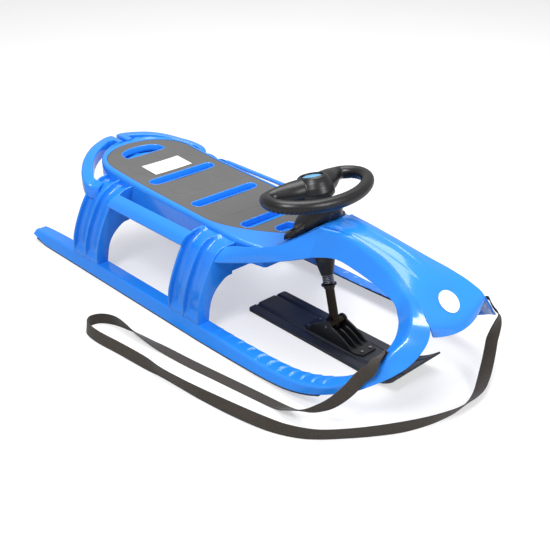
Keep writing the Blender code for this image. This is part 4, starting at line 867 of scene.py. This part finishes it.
def layer_net(x, low, high, grow, columns, relief=0.0):
    """The mat's outline between two offsets from the seat's top."""
    y = (mat_half(x) + grow)[:, None] * np.linspace(-1.0, 1.0, columns)[None, :]
    level = dished(x[:, None], y)
    return slab(x[:, None], y, level + high + relief, level + low)


def stadium(centre, half, radius):
    """Outline across the seat with two half circles for its ends."""
    turn = np.linspace(0.0, math.pi, 24)
    end = grid(centre + radius * np.cos(turn), half - radius + radius * np.sin(turn))
    return np.concatenate([end, (end * [1, -1])[::-1]])


def crescent():
    """Thumb opening: its front is a straight line and its back a flattened arch."""
    turn = np.linspace(0.0, math.pi, 40)
    back = THUMB_X - 0.045 * np.maximum(np.sin(turn), 0.0) ** 0.6
    return grid(back, 0.058 * np.cos(turn))


def openings(depth):
    """Cutters for the slots and the thumb opening, from a depth below the top."""
    shapes = [(x, stadium(x, half, SLOT_WIDTH / 2)) for x, half in SLOTS] + [(THUMB_X, crescent())]
    made = []
    for x, outline in shapes:
        level = float(dished(x, 0.0))
        made.append(prism("opening", outline, level - depth, level + 0.03))
    return made


print("seat half width at its middle", float(seat_half(0.0)))

# %% Seat shell
x = seat_places(SEAT_REAR_X, SEAT_FRONT_X, 0.005)
half, top = seat_half(x), seat_height(x)
low = top - SEAT_DEPTH - 0.01 * smooth(-0.4, -0.33, x) * (1 - smooth(0.0, 0.08, x))
ys, zs = [half - 0.012, half - 0.003, half], [low, low + 0.003, low + 0.012]
for t in np.linspace(0.0, 1.0, 8):
    ys.append(half - 0.01 * t ** 2)
    zs.append(top - 0.01 * (1 - t) ** 2)
flat = half - 0.011
crown_y = [flat * share for share in np.linspace(1.0, -1.0, 25)[1:-1]]
crown_z = [dished(x, y) for y in crown_y]
shell_net = ring_net(x, ys + crown_y + [-y for y in reversed(ys)], zs + crown_z + zs[::-1])
seat_shell = soften(net_piece("seat_shell", shell_net), 0.0045, 4)
hollow_x = seat_places(SEAT_REAR_X + 0.0045, SEAT_FRONT_X - 0.0045, 0.005)
inner = np.maximum(seat_half(hollow_x) - 0.0045, 0.002)
roof = seat_height(hollow_x) - SEAT_TOP_WALL
hollow_net = ring_net(hollow_x, [inner, inner, 0 * inner, -inner, -inner],
                      [roof - 0.1, roof, roof - SEAT_DISH, roof, roof - 0.1])
pocket_x = seat_places(MAT_REAR_X - 0.0006, MAT_FRONT_X + 0.0006, 0.005)
pocket = net_piece("mat_pocket", layer_net(pocket_x, -MAT_THICKNESS, 0.02, 0.0006, 25))
carve(seat_shell, net_piece("seat_hollow", hollow_net), pocket, *openings(CUP_DEPTH))
dress(seat_shell, blue, "sled", "blue_moulding", "seat_pan", sharp=40.0)

# %% [markdown]
# ## Foam mat
# The mat is one soft sheet whose rim rolls down. A point's depth in a groove is a bell of its
# distance to a broken line.

# %% Mat
GROOVES = (
    mm((-174, -84.5), (-156, -83), (-149, -75), (-146, 0), (-145.5, 90), (-160, 96)),
    mm((-24.4, -79.7), (-1.2, -79), (3.5, -72), (6.5, 0), (9.5, 72)),
    mm((-341, -87), (-305, -95), (-297, -85), (-296, -70)))


def groove_relief(x, y):
    """Grooves 1.2 mm * exp(-(d / 1.6 mm) squared) deep at d from a line, and a rolled rim."""
    x, y = np.broadcast_arrays(x, y)
    nearest = np.full(x.shape, 1.0)
    for line in GROOVES:
        for (x0, y0), (x1, y1) in zip(line, line[1:]):
            length = (x1 - x0) ** 2 + (y1 - y0) ** 2
            t = np.clip(((x - x0) * (x1 - x0) + (y - y0) * (y1 - y0)) / length, 0.0, 1.0)
            nearest = np.minimum(nearest, np.hypot(x - x0 - t * (x1 - x0), y - y0 - t * (y1 - y0)))
    rim = smooth(0.0035, 0.0, mat_half(x) - np.abs(y))
    return -0.0012 * np.exp(-(nearest / 0.0016) ** 2) - 0.0016 * rim


MAT_COLUMNS = 117
x = seat_places(MAT_REAR_X, MAT_FRONT_X, 0.0022)
y = mat_half(x)[:, None] * np.linspace(-1.0, 1.0, MAT_COLUMNS)[None, :]
pressed = groove_relief(x[:, None], y)
mat = net_piece("foam_mat", layer_net(x, 0.0003 - MAT_THICKNESS, 0.0, 0.0, MAT_COLUMNS, pressed))
carve(mat, *openings(0.03))
dress(mat, foam, "sled", "mat", "seat_mat", sharp=40.0)

# %% Slot lips
LIP = mm(
    (-1.6, -11.8), (-1, -1.2), (-0.4, 0.1), (0.6, 0.7), (1.6, 0.5), (2.2, -0.4), (2.2, -1.2), (0.5, -2),
    (0.4, -11.8))


def lip_piece(name, outline):
    """The lip's section carried round an outline: out by its first number and up by its second."""
    ahead = np.roll(outline, -1, axis=0) - np.roll(outline, 1, axis=0)
    outward = unit(grid(ahead[:, 1], -ahead[:, 0]))
    middle = outline.mean(axis=0)
    outward *= np.sign(np.sum(outward * (outline - middle), axis=1).sum())
    plan = outline[:, None] + LIP[None, :, :1] * outward[:, None]
    height = dished(outline[:, 0], outline[:, 1])[:, None] + LIP[None, :, 1]
    net = np.concatenate([plan, height[..., None]], axis=-1)
    net = np.concatenate([net, net[:1]])
    return moulding(name, net, sharp=50.0, caps=False)


for number, (centre, half) in enumerate(SLOTS):
    lip_piece(f"slot_lip_{number + 1}", stadium(centre, half, SLOT_WIDTH / 2))
arch = crescent()
front_edge = np.linspace(arch[-1], arch[0], 24)[1:-1]
lip_piece("thumb_lip", np.concatenate([arch, front_edge]))

# %% [markdown]
# ## Hood
# The hood is a thin sheet between the two strips, from behind the column to the bill. Each row is
# a parabola from the middle m to the edge e: m + (e - m) s squared, with y = e_y s.

# %% Hood
BEHIND = mm((165.5, 0, 216.5, 165.5, 112, 214.5), (200, 0, 240, 200, 94, 233),
            (235, 0, 262, 235, 66, 256)).reshape(-1, 2, 3)
CROWN = mm((262, 0, 277.5), (326, 0, 282.5), (382, 0, 278.5), (441, 0, 267.5), (507, 0, 243),
           (545, 0, 213), (578, 0, 187))
BILL = mm((590, 0, 165), (576, 73, 173))
DECK_ROWS = np.concatenate([BEHIND, np.stack([CROWN, BOW[:7, 2]], axis=1), BILL[None]])
SHELL = 0.0045
DECK_COLUMNS = 108
line = even(through(DECK_ROWS, 10), 0.004)
s = np.linspace(-1.0, 1.0, DECK_COLUMNS + 1)
middle, edge = line[:, 0][:, None], line[:, 1][:, None]
deck = middle + (edge - middle) * (s ** 2)[None, :, None]
deck[..., 1] = edge[..., 1] * s[None, :]
away = np.abs(deck[..., 1])
raised = 0.0014 * (1 - smooth(0.024, 0.03, away)) - 0.0009 * (1 - smooth(0.004, 0.01, away))
deck[..., 2] += raised * smooth(0.235, 0.262, deck[..., 0]) * (1 - smooth(0.46, 0.56, deck[..., 0]))


def deck_height(x, y):
    """Height of the hood's skin above a place."""
    middle = deck[:, DECK_COLUMNS // 2]
    edge = deck[:, -1]
    crown = np.interp(x, middle[:, 0], middle[:, 2])
    half = np.interp(x, middle[:, 0], edge[:, 1])
    low = np.interp(x, middle[:, 0], edge[:, 2])
    return crown - (crown - low) * np.minimum(np.abs(y) / half, 1.0) ** 2


hood = net_piece("hood_skin", deck, loop=False, caps=False)
if sum(face.normal.z * face.area for face in hood.data.polygons) < 0:
    hood.data.flip_normals()
modify(hood, "SOLIDIFY", thickness=SHELL, offset=-1.0, use_even_offset=True)
round_edges(hood, 0.0016, 3, 50.0)
dress(hood, blue, "sled", "blue_moulding", "hood", sharp=60.0)

# %% [markdown]
# ## Column bracket
# A black moulding bridges the hood behind the wheel, with an arm to each side. Its rows run across
# the sled and give rear edge, front edge and height.

# %% Column frame
PIVOT = np.array([0.2718, 0.0, 0.04])
RAKE = math.radians(14.5)
LEANED = np.array([[math.cos(RAKE), 0.0, -math.sin(RAKE)], [0.0, 1.0, 0.0],
                   [math.sin(RAKE), 0.0, math.cos(RAKE)]])


def on_column(points):
    """Points given along the raked column, forward, left and up, in the sled's frame."""
    return np.asarray(points, float) @ LEANED.T + PIVOT


# %% Bracket
SADDLE_ROWS = mm(
    (82, 196, 212, 8), (76, 191, 219, 11), (62, 188, 223, 13), (50, 186, 226, 16), (46, 184, 232, 24),
    (40, 181, 243, 34), (30, 174, 252, 40), (15, 167, 260.5, 43), (0, 165, 262, 44))
LIFTS = np.array([
    (0, 0.45), (0.08, 0.8), (0.2, 0.95), (0.4, 1), (0.6, 1), (0.8, 0.95), (0.92, 0.75), (1, 0.4)])
BUSH_RADIUS = 0.0218
rows = through(np.concatenate([SADDLE_ROWS * [-1, 1, 1, 1], SADDLE_ROWS[::-1][1:]]), 7)
share, lift = through(LIFTS, 5).T[:, None]
x = rows[:, 1:2] + (rows[:, 2:3] - rows[:, 1:2]) * share
base = deck_height(x, rows[:, :1]) + 0.0034
bracket_net = slab(x, rows[:, :1], base + 0.003 + rows[:, 3:4] * lift, base)
bracket = soften(net_piece("column_bracket", bracket_net), 0.0012, 2)
seat_level = float(deck_height(0.2085, 0.068)) + 0.0034 + 0.0055
hollows = [rod("hollow", (0.2085, y, seat_level), (0.2085, y, seat_level + 0.06), 0.0062)
           for y in (0.068, -0.068)]
bore = rod("bore", on_column((0, 0, 0.15)), on_column((0, 0, 0.35)), BUSH_RADIUS)
carve(bracket, bore, *hollows)
dress(bracket, black, "sled", "black_plastic", "saddle_bracket", sharp=40.0)

# %% [markdown]
# ## Steering wheel
# One thick rim, open at the back, swells at both ends into a pod over the column. Under it run
# finger teeth: its radius dips by a sawtooth of the length there.

# %% Steering wheel
RIM_ARC = math.radians(122.0)
RIM_MIDDLE, RIM_LONG, RIM_WIDE, RIM_UNDER = 0.0124, 0.0728, 0.1257, 0.2792
GRIP_RADIUS = 0.0142
TOOTH_PITCH = 0.008
POD = mm(
    (0, 319), (23.5, 319), (23.5, 324.5), (26.2, 324.5), (30.5, 321.5), (36, 313), (40.5, 302),
    (43, 290), (42.5, 283), (38.5, 278), (0, 278))
ENDS = np.array([
    (-0.027, 0.09, 0.3005, 1.16), (-0.022, 0.072, 0.299, 1.46), (-0.0145, 0.052, 0.2975, 1.72),
    (-0.006, 0.026, 0.297, 1.82)])
turn = np.linspace(-RIM_ARC, RIM_ARC, 35)
rim = grid(RIM_MIDDLE + RIM_LONG * np.cos(turn), RIM_WIDE * np.sin(turn),
           0.2931 - 0.0124 * np.cos(turn) - 0.0031 * np.cos(2 * turn), 1.0)
rim_line = even(through(np.concatenate([(ENDS * [1, -1, 1, 1])[::-1], rim, ENDS]), 8), 0.0011)
run = lengths(rim_line[:, :3])
turn = np.arange(40) * 2 * math.pi / 40
tooth = 1 - np.abs(2 * np.mod(run / TOOTH_PITCH, 1.0) - 1)
ahead = (rim_line[:, 0] - RIM_MIDDLE) / RIM_LONG
reach = np.degrees(np.arctan2(np.abs(rim_line[:, 1]) / RIM_WIDE, ahead))
gripped = smooth(28, 36, reach) * (1 - smooth(104, 112, reach))
under = smooth(-0.15, 0.45, -np.cos(turn))
radius = GRIP_RADIUS * rim_line[:, 3:4] * (1 - 0.115 * (tooth * gripped)[:, None] * under[None, :])
rim_net = tube(rim_line[:, :3], radius, 40, (0.0, 0.0, 1.0))
flat_below = (np.abs(rim_net[..., 1]) < 0.085) & (rim_net[..., 0] < 0.03)
rim_net[flat_below, 2] = np.maximum(rim_net[flat_below, 2], RIM_UNDER)
turn = np.arange(72) * 2 * math.pi / 72
pod_net = grid(POD[:, :1] * np.cos(turn), POD[:, :1] * np.sin(turn), POD[:, 1:])
wheel = net_piece("hand_wheel", on_column(rim_net))
pod = net_piece("pod", on_column(pod_net), caps=False)
carve(wheel, pod, operation="UNION")
modify(wheel, "REMESH", mode="VOXEL", voxel_size=0.0011)
modify(wheel, "SMOOTH", factor=0.5, iterations=5)
settle(wheel)
dress(wheel, black, "column", "black_plastic", "steering_wheel", sharp=60.0)

# %% Spring
SPRING_TURNS, SPRING_RADIUS, WIRE = 4.5, 0.0114, 0.0011
start, end = 0.0891 + WIRE, 0.1085 - WIRE
t = np.linspace(0.0, 1.0, 260)
turn = 2 * math.pi * SPRING_TURNS * t
coil = grid(SPRING_RADIUS * np.cos(turn), SPRING_RADIUS * np.sin(turn), start + (end - start) * t)
spring = net_piece("coil_spring", on_column(tube(coil, WIRE, 14, (0.0, 0.0, 1.0))))
dress(spring, bright_steel, "thrust_set", "spring_steel", "spring", sharp=50.0)
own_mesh(spring)

# %% [markdown]
# ## Ski
# The ski is a flat blade with two grooves and a wide turned-up tip. Its section has twelve
# corners, and its rows follow the bend.

# %% Ski
SECTION = mm(
    (-58, 8), (-37, 8), (-34, 5), (-29, 5), (-26, 9), (26, 9), (29, 5), (34, 5), (37, 8), (58, 8),
    (58, 0), (-58, 0))
TIP_START, TIP_X, TIP_LIFT, FLARE_X, FLARE = 0.418, 0.4945, 0.034, 0.385, 0.077 / 0.058 - 1
x = np.concatenate([[0.058, 0.06, 0.063], np.linspace(0.07, 0.38, 50), np.linspace(0.385, TIP_X, 40)])
t = np.clip((x - TIP_START) / (TIP_X - TIP_START), 0.0, 1.0)
narrow = 1 + FLARE * np.clip((x - FLARE_X) / (TIP_X - FLARE_X), 0.0, 1.0) ** 2
narrow[:2] = (0.93, 0.97)
slope = np.arctan(2 * TIP_LIFT * t / (TIP_X - TIP_START))[:, None]
height = SECTION[None, :, 1] * (1 - 0.45 * t)[:, None]
corners = grid(x[:, None] - height * np.sin(slope), SECTION[None, :, 0] * narrow[:, None],
               (TIP_LIFT * t ** 2)[:, None] + height * np.cos(slope))
ski_net, _ = rounded(corners, [0.0016] * 12, [6, 0, 1, 0, 10, 0, 1, 0, 6, 0, 16, 0], arc=4)
ski = net_piece("ski_body", ski_net)
dress(ski, ski_finish, "ski", "ski_plastic", "ski_blade", sharp=40.0)

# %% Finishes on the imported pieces
CARRIED = ((film, "mat_label nose_disc"), (badge_finish, "hub_badge"), (shaft_steel, "steering_shaft"),
           (black, "column_bush spring_collar ski_bracket"), (blue, "crossbeam"),
           (strip_steel, "runner_strip"),
           (screw_steel, "spring_washer ski_pivot_pin ski_screw saddle_screw strap_bar"))
for finish, starts in CARRIED:
    for piece in bpy.data.objects:
        if piece.name.startswith(tuple(starts.split())):
            for holder in piece.material_slots:
                holder.material = finish.material
print("packed pieces dressed in", len(CARRIED), "finishes")

# %% [markdown]
# ## Floor, backdrop and lights
# The picture stands on white with a faint shadow. A large floor takes the shadow, a little light
# of its own keeps it faint, and the camera sees the backdrop as white.

# %% Floor and lights
floor_mesh = bpy.data.meshes.new("floor")
floor_mesh.from_pydata([(-8, -8, 0), (8, -8, 0), (8, 8, 0), (-8, 8, 0)], [], [(0, 1, 2, 3)])
floor = linked("floor", floor_mesh)
paper = plain("paper_floor", 0.4, (0.5, 0.5, 0.5), (0.53, 0.53, 0.53), 0.9, 0.05)
lit = paper.node("ShaderNodeLightPath", {})
paper.wear(specular_ior_level=0.1, emission_strength=0.5,
           emission_color=paper.mix(lit, (0.0, 0.0, 0.0), (1.0, 1.0, 1.0)))
floor.data.materials.append(paper.material)
LIGHT_AIM = Vector((0.0, 0.0, 0.1))


def area_light(name, place, size, power):
    """Square soft box at place that faces the sled."""
    data = bpy.data.lights.new(name, "AREA")
    data.shape = "SQUARE"
    data.size = size
    data.energy = power
    lamp = linked(name, data)
    lamp.location = place
    lamp.rotation_mode = "QUATERNION"
    lamp.rotation_quaternion = (LIGHT_AIM - Vector(place)).to_track_quat("-Z", "Y")


area_light("key", (0.9, -1.9, 2.9), 1.0, 62.0)
area_light("side", (2.8, 0.6, 1.9), 0.9, 36.0)
area_light("top", (-0.6, 0.8, 3.2), 2.2, 75.0)

world = bpy.data.worlds.new("studio")
bpy.context.scene.world = world
world.use_nodes = True
sky = world.node_tree
sky.nodes.clear()
rays = sky.nodes.new("ShaderNodeLightPath")
choice = sky.nodes.new("ShaderNodeMixShader")
sky.links.new(rays.outputs["Is Camera Ray"], choice.inputs[0])
for place, strength in ((1, 0.45), (2, 1.0)):
    backdrop = sky.nodes.new("ShaderNodeBackground")
    backdrop.inputs["Color"].default_value = (1.0, 1.0, 1.0, 1.0)
    backdrop.inputs["Strength"].default_value = strength
    sky.links.new(backdrop.outputs[0], choice.inputs[place])
end = sky.nodes.new("ShaderNodeOutputWorld")
sky.links.new(choice.outputs[0], end.inputs[0])
bpy.context.scene.view_settings.view_transform = "Standard"
print("lit by 3 soft boxes and a plain sky")
